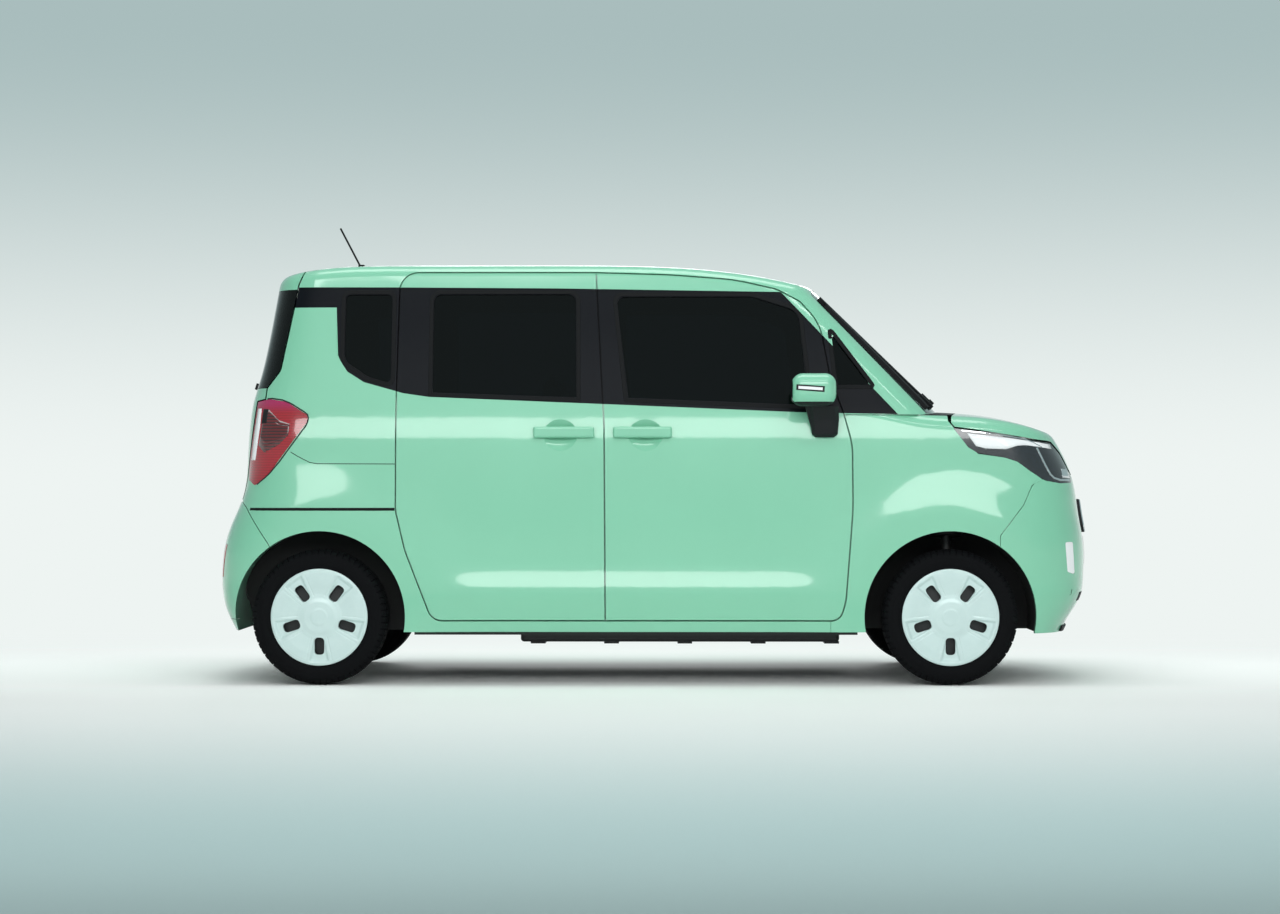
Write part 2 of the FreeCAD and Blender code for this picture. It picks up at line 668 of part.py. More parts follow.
COWL_GAP = 6.0
cowl_region = block(1000, 1400, -735, 735, 1083, 1300)
cowl_region = cut_by(cowl_region, prism(grown(plan, COWL_GAP), "z", 900, 1400), cabin(0))
cowl = nose_wall(0, NOSE_PANEL_DEPTH, cowl_region)
export("cowl", cowl)

# Floor with its bulkhead and boot step, the arch liners and what hangs below it

FLOOR_Z = 244.0
FLOOR_THICK = 14.0
REAR_FLOOR_Z = 420.0
BOOT_Z = 505.0
BULKHEAD_X = 1010.0
inside = cabin(WALL_DEPTH)


def bent_sheet(corners, thick):
    """A sheet bent along a side-view line, as a face to be carried across the car."""
    path = [V(x, 0, z) for x, z in corners]
    upper = []
    for i, here in enumerate(path):
        before = (here - path[i - 1]).normalize() if i > 0 else None
        after = (path[i + 1] - here).normalize() if i < len(path) - 1 else None
        along = before or after
        if before and after:
            along = (before + after).normalize()
        normal = V(-along.z, 0, along.x)
        stretch = 1.0 / max(0.5, normal.dot(V(-(after or along).z, 0, (after or along).x)))
        upper.append(here + normal * thick * stretch)
    loop = path + list(reversed(upper))
    return Part.Face(Part.Wire([Part.makeLine(a, b) for a, b in zip(loop, loop[1:] + loop[:1])]))


floor_line = [(-1640, BOOT_Z), (-1010, BOOT_Z), (-960, REAR_FLOOR_Z), (-640, REAR_FLOOR_Z), (-560, FLOOR_Z),
              (700, FLOOR_Z), (860, 380), (BULKHEAD_X, 560), (BULKHEAD_X, 1062)]
floor_sheet = prism(bent_sheet(floor_line, FLOOR_THICK), "y", -900, 900)
FRONT_WELL_Y = 455.0
REAR_WELL_Y = 585.0
wells = []
for well, well_y in ((front_well, FRONT_WELL_Y), (rear_well, REAR_WELL_Y)):
    wells += [prism(well, "y", -1200, -well_y), prism(well, "y", well_y, 1200)]
sill_strips = [side_block(k, -955, 820, 688, 738, 200, SILL_BOTTOM) for k in (-1, 1)]
sill_webs = [side_block(k, -955, 820, 676, 689, 200, FLOOR_Z + 6) for k in (-1, 1)]
floor = cut_by(floor_sheet.common(inside), *wells)
floor = cut_by(fused([floor] + sill_strips + [web.common(inside) for web in sill_webs]), *wells)
export("floor_pan", floor)


def liner(x, well_y, form):
    """The shell over one wheel with its inner wall, open below the body."""
    outer = prism(disc(x, TYRE_RADIUS, LINER_OUT - SEAT_GAP), "y", -1200, -well_y - SEAT_GAP)
    inner = prism(disc(x, TYRE_RADIUS, LINER_IN), "y", -1250, -well_y - 12)
    solid = outer.cut(inner).common(form)
    return solid.common(block(-2000, 2000, -1200, 0, SILL_BOTTOM, 1100))


strut_low = V(FRONT_AXLE_X, -KINGPIN_LOW[0], KINGPIN_LOW[1])
strut_high = V(FRONT_AXLE_X, -KINGPIN_HIGH[0], KINGPIN_HIGH[1])
strut_hole = Part.makeCylinder(80, 600, strut_low, strut_high - strut_low)
hub_slot = fused([prism(disc(REAR_AXLE_X, TYRE_RADIUS, 64), "y", -700, -500),
                  block(REAR_AXLE_X - 64, REAR_AXLE_X + 64, -700, -500, 200, TYRE_RADIUS)])
front_liner = liner(FRONT_AXLE_X, FRONT_WELL_Y, nose(NOSE_PANEL_DEPTH)).cut(strut_hole)
rear_liner = liner(REAR_AXLE_X, REAR_WELL_Y, inside).cut(hub_slot)
export("arch_liners", front_liner, mirrored(front_liner), rear_liner, mirrored(rear_liner))

battery = block(-540, 760, -520, 520, 160, FLOOR_Z - SEAT_GAP)
battery_edges = [e for e in battery.Edges if e.BoundBox.ZMax < 161 or e.BoundBox.ZLength > 50]
battery = battery.makeFillet(14, battery_edges)
battery_rails = [block(-500 + i * 300, -440 + i * 300, -500, 500, 152, 161) for i in range(5)]
export("battery_pack", fused([battery] + battery_rails))
MOTOR_BOTTOM = 330.0
motor = soft_block(1070, 1440, -260, 260, MOTOR_BOTTOM, 760, 20)
export("motor_block", motor)

SUBFRAME_Z = 214.0
ARM_Z = 190.0
side_rails = [soft_block(930, 1560, 300 * k - 34, 300 * k + 34, SUBFRAME_Z, SUBFRAME_Z + 60, 10)
              for k in (-1, 1)]
cross = [soft_block(x, x + 80, -330, 330, SUBFRAME_Z + 4, SUBFRAME_Z + 56, 10) for x in (1000, 1420)]
posts = [block(960, 1010, 300 * k - 30, 300 * k + 30, SUBFRAME_Z + 50, 495) for k in (-1, 1)]
mounts = [side_block(k, 1260, 1310, 200, 290, SUBFRAME_Z + 40, MOTOR_BOTTOM - SEAT_GAP) for k in (-1, 1)]
beam = [block(1472, 1512, -600, 600, 500, 590)]
horns = [block(1500, 1560, 300 * k - 34, 300 * k + 34, SUBFRAME_Z + 30, 590) for k in (-1, 1)]


def lower_arm(k):
    """A flat triangular arm from the subframe to the ball joint under one hub."""
    y_in, y_out = 300 * k, KINGPIN_LOW[0] * k
    face = outline([(1060, y_in), (1150, y_in + 0.75 * (y_out - y_in)), (1163, y_out, 5), (1213, y_out, 5),
                    (1240, y_in + 0.7 * (y_out - y_in)), (1380, y_in)], "xy")
    arm = prism(face, "z", ARM_Z - 12, ARM_Z + 12)
    bushes = [Part.makeCylinder(24, 60, V(x - 30, y_in, SUBFRAME_Z - 6), V(1, 0, 0)) for x in (1090, 1350)]
    return fused([arm] + bushes)


tops = [Part.makeCone(78, 60, 40, V(FRONT_AXLE_X, KINGPIN_HIGH[0] * k, KINGPIN_HIGH[1] + 12), V(0, 0, 1))
        for k in (-1, 1)]
rails = [side_block(k, FRONT_AXLE_X - 80, FRONT_AXLE_X + 80, 470, 640, 790, 812) for k in (-1, 1)]
bay_bars = [side_block(k, BULKHEAD_X + SEAT_GAP, 1600, 470, 530, 812, 880) for k in (-1, 1)]
subframe = fused(side_rails + cross + posts + mounts + beam + horns + [lower_arm(-1), lower_arm(1)])
export("front_subframe", subframe)
stops = [Part.makeCylinder(14, 400, V(1300, 500 * k, 850), V(0, 0, 1)).common(
    nose(NOSE_PANEL_DEPTH).translated(V(0, 0, -SEAT_GAP))) for k in (-1, 1)]
export("strut_towers", *[fused([t, r, b, stop]) for t, r, b, stop in zip(tops, rails, bay_bars, stops)])


HUB_RADIUS = 56.0
DAMPER_RADIUS = 20.0
DAMPER_INSET = 16.0
HUB_FACE = 36.0
SPRING_SEAT = 390.0
COILS = 5
COIL_PITCH = 26.0


def knuckle(k):
    """Hub carrier, brake disc and strut of one front wheel, all about the tilted steering axis."""
    y = TRACK_HALF * k
    low = V(FRONT_AXLE_X, (KINGPIN_LOW[0] - DAMPER_INSET) * k, KINGPIN_LOW[1] + 17)
    high = V(FRONT_AXLE_X, KINGPIN_HIGH[0] * k, KINGPIN_HIGH[1])
    axis = (high - low).normalize()
    hub_start = V(FRONT_AXLE_X, (TRACK_HALF - 66) * k, TYRE_RADIUS)
    hub = Part.makeCylinder(HUB_RADIUS, 66 + HUB_FACE - SEAT_GAP, hub_start, V(0, k, 0))
    brake = Part.makeCylinder(120, 20, V(FRONT_AXLE_X, (TRACK_HALF - 36) * k, TYRE_RADIUS), V(0, k, 0))
    caliper = side_block(k, FRONT_AXLE_X - 124, FRONT_AXLE_X - 60, TRACK_HALF - 52, TRACK_HALF - 4,
                         TYRE_RADIUS - 48, TYRE_RADIUS + 48)
    damper = Part.makeCylinder(DAMPER_RADIUS, (high - low).Length, low, axis)
    inner = DAMPER_RADIUS - 4
    wave = [(inner, SPRING_SEAT), (68, SPRING_SEAT), (68, SPRING_SEAT + 10)]
    first_coil = SPRING_SEAT + 14
    for i in range(COILS):
        wave += [(50, first_coil + COIL_PITCH * i), (64, first_coil + COIL_PITCH * (i + 0.5))]
    wave += [(50, first_coil + COIL_PITCH * COILS), (inner, first_coil + COIL_PITCH * COILS)]
    spring_wire = [V(0, r, h) for r, h in wave]
    loop = Part.Wire([Part.makeLine(a, b) for a, b in zip(spring_wire, spring_wire[1:] + spring_wire[:1])])
    spring = Part.Face(loop).revolve(V(0, 0, 0), V(0, 0, 1), 360)
    spring.Placement = FreeCAD.Placement(low, FreeCAD.Rotation(V(0, 0, 1), axis))
    return fused([hub, brake, caliper, damper, spring])


right_knuckle = knuckle(-1)
export("knuckle_right", right_knuckle)
export("knuckle_left", mirrored(right_knuckle))

AXLE_Z = 262.0
arm_x = -860.0
beam_section = outline([(-1075, AXLE_Z - 30, 10), (-1075, AXLE_Z + 34, 10), (-1000, AXLE_Z + 34, 10),
                        (-1000, AXLE_Z - 30, 10)])
rear_beam = [prism(beam_section, "y", -560, 560)]
for k in (-1, 1):
    rear_beam.append(rod((arm_x, 545 * k, 300), (REAR_AXLE_X, 545 * k, TYRE_RADIUS), 30))
    rear_beam.append(Part.makeCylinder(36, 70, V(arm_x, 545 * k - 35, 300), V(0, 1, 0)))
    rear_beam.append(Part.makeCylinder(58, 130, V(REAR_AXLE_X, 530 * k, TYRE_RADIUS), V(0, k, 0)))
    rear_beam.append(Part.makeCylinder(112, 44, V(REAR_AXLE_X, 640 * k, TYRE_RADIUS), V(0, k, 0)))
    hub_start = V(REAR_AXLE_X, 650 * k, TYRE_RADIUS)
    rear_beam.append(Part.makeCylinder(
        HUB_RADIUS, TRACK_HALF + HUB_FACE - SEAT_GAP - 650, hub_start, V(0, k, 0)))
    rear_beam.append(rod((REAR_AXLE_X, 470 * k, TYRE_RADIUS), (REAR_AXLE_X, 540 * k, TYRE_RADIUS), 30))
    rear_beam.append(rod((-1240, 470 * k, TYRE_RADIUS - 20), (-1240, 470 * k, BOOT_Z - SEAT_GAP), 50))
    rear_beam.append(rod((-1290, 545 * k, TYRE_RADIUS), (-1200, 450 * k, TYRE_RADIUS - 20), 26))
    rear_beam.append(side_block(k, arm_x - 40, arm_x + 40, 505, 585, 310, REAR_FLOOR_Z - SEAT_GAP))
export("rear_axle", fused(rear_beam))

# Wheels: tyre, steel rim and slotted cover, all turned about the axle

def turned(points, x, y, k):
    """A profile of (distance from the wheel's middle plane, radius) turned about the wheel's axis."""
    path = [V(x, y + k * a, TYRE_RADIUS + r) for a, r in points]
    wire = Part.Wire([Part.makeLine(a, b) for a, b in zip(path, path[1:] + path[:1])])
    return Part.Face(wire).revolve(V(x, y, TYRE_RADIUS), V(0, 1, 0), 360)


HALF_TREAD = TYRE_WIDTH / 2
tyre_half = [(58, 269), (72, 260), (80, 244), (HALF_TREAD, 222), (76, 196), (62, RIM_RADIUS)]
tyre_profile = [(-a, r) for a, r in reversed(tyre_half)] + [(0, TYRE_RADIUS)] + tyre_half
rim_profile = [(-64, 183.6), (-64, 174), (-50, 170), (-30, 150), (20, 150), (28, 70), (HUB_FACE, 60),
               (HUB_FACE, 12), (48, 12), (48, 66), (38, 84), (34, 150), (52, 166), (64, 174), (64, 183.6),
               (62.2, 181.7), (20, 181.7), (10, 165), (-20, 165), (-40, 181.7), (-62.2, 181.7)]
cover_profile = [(48.3, 0), (48.3, 90), (56, 160), (64.5, 173), (66.5, 184), (74.3, COVER_RADIUS),
                 (79, COVER_RADIUS), (82, 186), (82, 150), (78, 92), (83, 60), (85, 34), (85, 0)]
SLOTS = 5


def wheel(name, x, k):
    y = TRACK_HALF * k
    tyre = turned(tyre_profile, x, y, k)
    rim = turned(rim_profile, x, y, k)
    cover = turned(cover_profile, x, y, k)
    slot = outline([(-34.5, 97, 19), (-34.5, 135, 19), (34.5, 135, 19), (34.5, 97, 19)])
    for i in range(SLOTS):
        hole = prism(slot, "y", y + 40 * k - 50, y + 40 * k + 50)
        hole = hole.translated(V(x, 0, TYRE_RADIUS))
        hole.rotate(V(x, 0, TYRE_RADIUS), V(0, 1, 0), 180 + i * 360 / SLOTS)
        cover = cover.cut(hole)
    export(f"tyre_{name}", tyre)
    export(f"rim_{name}", rim)
    export(f"cover_{name}", cover)


for name, x, k in (("front_right", FRONT_AXLE_X, -1), ("front_left", FRONT_AXLE_X, 1),
                   ("rear_right", REAR_AXLE_X, -1), ("rear_left", REAR_AXLE_X, 1)):
    wheel(name, x, k)

# Cabin: dashboard, steering wheel, seats

dash_back_x = BULKHEAD_X - 14 - SEAT_GAP
dash_section = outline([(dash_back_x, 1062), (960, 1062, 20), (700, 1035, 40), (630, 960, 40),
                        (640, 760, 50), (760, 690, 30), (dash_back_x, 690)])
dash = prism(dash_section, "y", -680, 680).common(cabin(WALL_DEPTH))
export("dashboard", dash)
DRIVER_Y = 335.0
WHEEL_GRIP = 178.0
wheel_centre = V(500, DRIVER_Y, 905)
column = V(0.88, 0, -0.475).normalize()
steering_parts = [Part.makeTorus(WHEEL_GRIP, 15, wheel_centre, column),
                  Part.makeCylinder(58, 40, wheel_centre - column * 10, column),
                  rod(tuple(wheel_centre), tuple(wheel_centre + column * 175), 34)]
for a in (0, math.pi, math.pi / 2):
    out = V(0, math.cos(a), 0) + column.cross(V(0, 1, 0)) * math.sin(a)
    steering_parts.append(rod(tuple(wheel_centre), tuple(wheel_centre + out * WHEEL_GRIP), 11))
steering = fused(steering_parts)
export("steering_wheel", steering.cut(dash))


def seat(y0, y1, x0, back_angle, cushion_z, back_top):
    """A cushion on a plinth, a reclined backrest and head rests, as plain closed forms."""
    plinth = block(x0 + 60, x0 + 430, y0 + 60, y1 - 60, cushion_z - 175, cushion_z - 120)
    cushion = soft_block(x0, x0 + 500, y0, y1, cushion_z - 130, cushion_z, 36)
    back = soft_block(x0 - 60, x0 + 60, y0 + 6, y1 - 6, cushion_z - 80, back_top, 36)
    middle = (y0 + y1) / 2
    rest = soft_block(x0 - 45, x0 + 45, middle - 125, middle + 125, back_top + 20, back_top + 170, 30)
    stalk = block(x0 - 8, x0 + 8, middle - 50, middle + 50, back_top - 10, back_top + 40)
    upper = fused([back, stalk, rest])
    upper.rotate(V(x0, 0, cushion_z - 60), V(0, 1, 0), -back_angle)
    return fused([plinth, cushion, upper])


floor_top = FLOOR_Z + FLOOR_THICK
legs = [side_block(k, -130, 330, DRIVER_Y - 200, DRIVER_Y + 200, floor_top + SEAT_GAP, floor_top + 130)
        for k in (-1, 1)]
front_seats = [seat(k * DRIVER_Y - 245, k * DRIVER_Y + 245, -190, 18, floor_top + 300, 1110).fuse(leg)
               for k, leg in zip((-1, 1), legs)]
export("front_seats", *front_seats)
rear_top = REAR_FLOOR_Z + FLOOR_THICK
bench = seat(-570, 570, -900, 20, rear_top + 175 + SEAT_GAP, 1080)
export("rear_bench", bench)

# Mirrors, antenna and wipers

cap = soft_block(548, 724, -985, -812, 1112, 1240, 44)
foot_bottom = outline([(632, -752), (736, -752), (736, -790), (632, -790)], "xy").translated(V(0, 0, 1030))
foot_top = outline([(600, -830), (690, -830), (690, -880), (600, -880)], "xy").translated(V(0, 0, 1135))
foot = Part.makeLoft([Part.Wire(foot_bottom.Edges), Part.Wire(foot_top.Edges)], True)
mirror = fused([foot, cap])
mirror = mirror.cut(cabin(-SEAT_GAP))
export("mirror_right", mirror)
export("mirror_left", mirrored(mirror))
roof_at_antenna = roof_height(-1248, 0)
antenna = fused([Part.makeCone(26, 12, 26, V(-1248, 0, roof_at_antenna + SEAT_GAP)),
                 rod((-1252, 0, roof_at_antenna + 18), (-1338, 0, 1896), 4)])
export("antenna", antenna)
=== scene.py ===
# A small box-shaped electric city car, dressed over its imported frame. Sizes are in metres, in the car's own
# frame: +X is forward, +Y is its left side, +Z is up, and the tyres stand on z = 0.
import math

import bmesh
import bpy
from mathutils import Matrix, Vector
from mathutils.bvhtree import BVHTree


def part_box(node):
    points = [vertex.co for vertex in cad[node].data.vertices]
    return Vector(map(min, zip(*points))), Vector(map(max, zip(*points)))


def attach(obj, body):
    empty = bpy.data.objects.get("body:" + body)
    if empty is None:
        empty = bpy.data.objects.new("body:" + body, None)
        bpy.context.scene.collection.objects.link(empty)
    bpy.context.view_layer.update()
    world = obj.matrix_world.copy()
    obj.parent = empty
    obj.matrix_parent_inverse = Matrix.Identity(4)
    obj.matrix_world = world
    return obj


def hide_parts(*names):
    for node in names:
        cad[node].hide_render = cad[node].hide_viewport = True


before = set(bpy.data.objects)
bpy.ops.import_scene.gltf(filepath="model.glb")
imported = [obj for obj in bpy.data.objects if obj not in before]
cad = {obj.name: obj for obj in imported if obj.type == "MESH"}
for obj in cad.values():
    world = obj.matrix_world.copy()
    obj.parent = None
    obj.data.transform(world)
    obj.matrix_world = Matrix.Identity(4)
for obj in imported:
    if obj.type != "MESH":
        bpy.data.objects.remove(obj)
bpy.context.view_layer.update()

# Painted panels: pressed steel doors, sides, wings, roof and lids, and the moulded bumpers. All are sprayed
# with one mint base coat under a clear lacquer, which gives sharp highlights over a soft colour. The frames
# round the side windows carry a blue-black satin film, and what faces the cabin is moulded trim.


def linear(code):
    """A linear colour with alpha from an sRGB hex code."""
    parts = [int(code[i:i + 2], 16) / 255 for i in (1, 3, 5)]
    return (*[p / 12.92 if p <= 0.04045 else ((p + 0.055) / 1.055) ** 2.4 for p in parts], 1.0)


def add(tree, kind, inputs=None, **settings):
    """Adds a node with its settings. An input takes a value, or another node's output as (node, name)."""
    made = tree.nodes.new(f"ShaderNode{kind}")
    for name, value in settings.items():
        setattr(made, name, value)
    for socket, value in (inputs or {}).items():
        if isinstance(value, tuple) and isinstance(value[0], bpy.types.Node):
            tree.links.new(value[0].outputs[value[1]], made.inputs[socket])
        else:
            made.inputs[socket].default_value = value
    return made


def bare_material(name):
    """A node material that holds only its coordinates so far, with its tree and that node."""
    material = bpy.data.materials.new(name)
    material.use_nodes = True
    material.node_tree.nodes.clear()
    return material, material.node_tree, add(material.node_tree, "TexCoord")


def mint_coat(tree, place):
    """Lacquer over a mint base coat, never quite even, with a faint ripple about 4 mm across."""
    ripple = add(tree, "TexNoise", {"Vector": (place, "Object"), "Scale": 250.0, "Detail": 1.0})
    relief = add(tree, "Bump", {"Height": (ripple, "Fac"), "Strength": 0.015, "Distance": 0.001})
    cloud = add(tree, "TexNoise", {"Vector": (place, "Object"), "Scale": 2.5, "Detail": 2.0})
    tone = add(tree, "Mix", {"Factor": (cloud, "Fac"), "A": linear("#7BC5A4"), "B": linear("#80CAA9")},
               data_type="RGBA")
    return add(tree, "BsdfPrincipled", {
        "Base Color": (tone, "Result"), "Roughness": 0.38, "IOR": 1.5, "Coat Weight": 1.0,
        "Coat Roughness": 0.07, "Normal": (relief, "Normal")})


def satin_coat(tree, place):
    """Calendered vinyl film, whose fine grain softens what it mirrors."""
    grain = add(tree, "TexNoise", {"Vector": (place, "Object"), "Scale": 900.0, "Detail": 1.0})
    relief = add(tree, "Bump", {"Height": (grain, "Fac"), "Strength": 0.05, "Distance": 0.0004})
    return add(tree, "BsdfPrincipled", {
        "Base Color": linear("#0C0F15"), "Roughness": 0.32, "Specular IOR Level": 0.1,
        "Normal": (relief, "Normal")})


def in_two_coats(tree, place, mask):
    """Mint paint, and satin film wherever the mask is one."""
    both = add(tree, "MixShader", {
        "Fac": (mask, "Value"), 1: (mint_coat(tree, place), "BSDF"), 2: (satin_coat(tree, place), "BSDF")})
    add(tree, "OutputMaterial", {"Surface": (both, "Shader")})


mint_paint, tree, place = bare_material("mint_clearcoat_paint")
add(tree, "OutputMaterial", {"Surface": (mint_coat(tree, place), "BSDF")})

BAND_ENDS = (-1.500, 0.982)
BAND_LEVELS = (1.000, 1.700)
BAND_TOP = [(-1.500, 1.601), (-1.017, 1.599), (-0.373, 1.594), (0.517, 1.579), (0.982, 1.083)]
BAND_BOTTOM = [
    (-1.500, 1.517), (-1.277, 1.517), (-1.275, 1.345), (-1.262, 1.308), (-1.228, 1.256), (-1.160, 1.213),
    (-1.060, 1.185), (-1.000, 1.168), (-0.897, 1.153), (-0.373, 1.131), (-0.198, 1.124), (0.586, 1.091),
    (0.982, 1.083),
]


def line_over(tree, spot, points):
    """The height of a drawn line above each place along the car."""
    along = add(tree, "MapRange", {"Value": (spot, "X"), "From Min": BAND_ENDS[0], "From Max": BAND_ENDS[1]})
    line = add(tree, "FloatCurve", {"Value": (along, "Result")})
    knots = line.mapping.curves[0].points
    shares = [((x - BAND_ENDS[0]) / (BAND_ENDS[1] - BAND_ENDS[0]),
               (z - BAND_LEVELS[0]) / (BAND_LEVELS[1] - BAND_LEVELS[0])) for x, z in points]
    knots[0].location, knots[1].location = shares[0], shares[-1]
    for share in shares[1:-1]:
        knots.new(*share)
    for knot in knots:
        knot.handle_type = "VECTOR"
    line.mapping.update()
    return add(tree, "MapRange",
               {"Value": (line, "Value"), "To Min": BAND_LEVELS[0], "To Max": BAND_LEVELS[1]})


side_paint, tree, place = bare_material("mint_paint_with_window_band")
spot = add(tree, "SeparateXYZ", {"Vector": (place, "Object")})
under_top = add(tree, "Math", {0: (spot, "Z"), 1: (line_over(tree, spot, BAND_TOP), "Result")},
                operation="LESS_THAN")
over_bottom = add(tree, "Math", {0: (spot, "Z"), 1: (line_over(tree, spot, BAND_BOTTOM), "Result")},
                  operation="GREATER_THAN")
past_rear = add(tree, "Math", {0: (spot, "X"), 1: BAND_ENDS[0]}, operation="GREATER_THAN")
before_front = add(tree, "Math", {0: (spot, "X"), 1: BAND_ENDS[1]}, operation="LESS_THAN")
in_band = under_top
for test in (over_bottom, past_rear, before_front):
    in_band = add(tree, "Math", {0: (in_band, "Value"), 1: (test, "Value")}, operation="MULTIPLY")
in_two_coats(tree, place, in_band)


def grained_plastic(name, dark, light, roughness, grain_size, relief=0.35, shine=0.5):
    """A matt moulded surface with a pebbled tool grain, each pebble's top a little lighter as a painted
    highlight.
    """
    material, tree, place = bare_material(name)
    pebbles = add(tree, "TexVoronoi", {"Vector": (place, "Object"), "Scale": 1 / grain_size})
    # Painted highlight: the middle of each pebble is lighter, its edges darker.
    tone = add(tree, "Mix", {"Factor": (pebbles, "Distance"), "A": linear(light), "B": linear(dark)},
               data_type="RGBA")
    bump = add(tree, "Bump", {"Height": (pebbles, "Distance"), "Strength": relief, "Distance": 0.0006})
    shader = add(tree, "BsdfPrincipled", {
        "Base Color": (tone, "Result"), "Roughness": roughness, "Specular IOR Level": shine,
        "Normal": (bump, "Normal")})
    add(tree, "OutputMaterial", {"Surface": (shader, "BSDF")})
    return material


black_plastic = grained_plastic("moulded_black_polypropylene", "#0B0D10", "#15181C", 0.55, 0.0022, shine=0.3)
cabin_trim = grained_plastic("moulded_grey_cabin_trim", "#3A3D40", "#4A4D50", 0.6, 0.0025)


def dress(names, main, *others):
    """Gives CAD nodes a finish, and others where a test of a face's centre and outward lean holds."""
    for name in names:
        mesh = cad[name].data
        mesh.materials.clear()
        for material in [main] + [material for material, test in others]:
            mesh.materials.append(material)
        for face in mesh.polygons:
            outward = face.normal.y * math.copysign(1, face.center.y)
            face.material_index = 0
            for i, (material, test) in enumerate(others):
                if test(face.center, outward):
                    face.material_index = i + 1


SKIN_INSIDE = 0.76


def faces_cabin(centre, outward):
    return outward < -0.5 and abs(centre.y) < SKIN_INSIDE


SIDE_DOORS = ["door_front_right", "door_front_left", "sliding_door", "door_rear_left"]
dress(SIDE_DOORS + ["body_side_right", "body_side_left"], side_paint, (cabin_trim, faces_cabin))
dress(["fenders", "bonnet", "front_bumper", "rear_bumper"], mint_paint)
dress(["rear_panel"], cabin_trim)

# Roof and tailgate: the same painted steel. Under the roof hangs a felt-backed knitted headliner, and the
# tailgate's glass sits in a black printed border.
headliner = grained_plastic("knitted_polyester_headliner", "#A9A8A2", "#C2C1BB", 0.95, 0.003, 0.5)
SKIN_LEVEL = 1.60
SCREEN_HEAD = 0.6
dress(["roof_panel"], mint_paint,
      (headliner, lambda centre, outward: centre.z < SKIN_LEVEL and centre.x < SCREEN_HEAD))

GLASS_BOTTOM = 1.190
GLASS_TOP = 1.592
INNER_FACE = -1.50
tailgate_paint, tree, place = bare_material("mint_paint_with_glass_border")
spot = add(tree, "SeparateXYZ", {"Vector": (place, "Object")})
over_foot = add(tree, "Math", {0: (spot, "Z"), 1: GLASS_BOTTOM}, operation="GREATER_THAN")
under_head = add(tree, "Math", {0: (spot, "Z"), 1: GLASS_TOP}, operation="LESS_THAN")
bordered = add(tree, "Math", {0: (over_foot, "Value"), 1: (under_head, "Value")}, operation="MULTIPLY")
in_two_coats(tree, place, bordered)
dress(["tailgate"], tailgate_paint,
      (cabin_trim, lambda centre, outward: centre.x > INNER_FACE and centre.z < GLASS_BOTTOM))

# Glass: privacy-tinted toughened panes in the sides and tail, and a laminated windscreen with a faint green
# cast. Rolled float glass is smooth, so all of its look is colour and mirror.


def float_glass(name, tint, ior):
    material, tree, place = bare_material(name)
    wave = add(tree, "TexNoise", {"Vector": (place, "Object"), "Scale": 3.0, "Detail": 0.0})
    draw = add(tree, "Bump", {"Height": (wave, "Fac"), "Strength": 0.03, "Distance": 0.002})
    shader = add(tree, "BsdfPrincipled", {
        "Base Color": linear(tint), "Transmission Weight": 1.0, "Roughness": 0.0, "IOR": ior,
        "Normal": (draw, "Normal")})
    add(tree, "OutputMaterial", {"Surface": (shader, "BSDF")})
    return material


privacy_glass = float_glass("privacy_tinted_glass", "#252D33", 1.33)
screen_glass = float_glass("laminated_windscreen_glass", "#A9B8B4", 1.2)
dress(["glass_front_right", "glass_front_left", "glass_rear_left", "fixed_windows", "tailgate_glass"],
      privacy_glass)
dress(["windscreen"], screen_glass)

# Seals: extruded rubber channels round each side window. They lie on the panels as strips that follow the
# skin, and so do all the thin trims further down.


def skin_of(*names):
    """A target for rays, made from CAD nodes' meshes."""
    corners = []
    faces = []
    for name in names:
        mesh = cad[name].data
        start = len(corners)
        corners += [vertex.co.copy() for vertex in mesh.vertices]
        faces += [[start + i for i in face.vertices] for face in mesh.polygons]
    return BVHTree.FromPolygons(corners, faces)


CLEAR_OF_SIDES = 1.3
CLEAR_OF_ENDS = 2.2
RAYS = {
    "right": (lambda a, b: Vector((a, -CLEAR_OF_SIDES, b)), Vector((0, 1, 0))),
    "left": (lambda a, b: Vector((a, CLEAR_OF_SIDES, b)), Vector((0, -1, 0))),
    "rear": (lambda a, b: Vector((-CLEAR_OF_ENDS, a, b)), Vector((1, 0, 0))),
    "front": (lambda a, b: Vector((CLEAR_OF_ENDS, a, b)), Vector((-1, 0, 0))),
}


def land(skin, side, a, b):
    """Where a ray from one side meets the skin, and the skin's outward direction there."""
    start, way = RAYS[side]
    spot, normal, _, _ = skin.ray_cast(start(a, b), way)
    if spot is None:
        spot, normal, _, _ = skin.find_nearest(start(a, b) + way * 0.55)
    return spot, normal if normal.dot(way) < 0 else -normal


def closed_mesh(name, corners, faces):
    """A mesh whose faces all look outward."""
    mesh = bpy.data.meshes.new(name)
    mesh.from_pydata(corners, [], faces)
    shape = bmesh.new()
    shape.from_mesh(mesh)
    bmesh.ops.recalc_face_normals(shape, faces=shape.faces)
    shape.to_mesh(mesh)
    shape.free()
    return mesh


def carried(name, mesh, material, body="body", smooth=True):
    """An object for a mesh, in one finish, that rides on a body of the car."""
    mesh.materials.append(material)
    mesh.polygons.foreach_set("use_smooth", [smooth] * len(mesh.polygons))
    made = bpy.data.objects.new(name, mesh)
    bpy.context.collection.objects.link(made)
    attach(made, body)
    return made


def piece(name, corners, faces, material, body="body", smooth=True):
    return carried(name, closed_mesh(name, corners, faces), material, body, smooth)


def stepped(points, step, closed=False):
    """Points spaced evenly along straight runs between the given ones."""
    out = []
    runs = list(zip(points, points[1:] + points[:1])) if closed else list(zip(points, points[1:]))
    for start, end in runs:
        count = max(1, round(math.dist(start, end) / step))
        out += [tuple(s + (e - s) * i / count for s, e in zip(start, end)) for i in range(count)]
    return out if closed else out + [points[-1]]


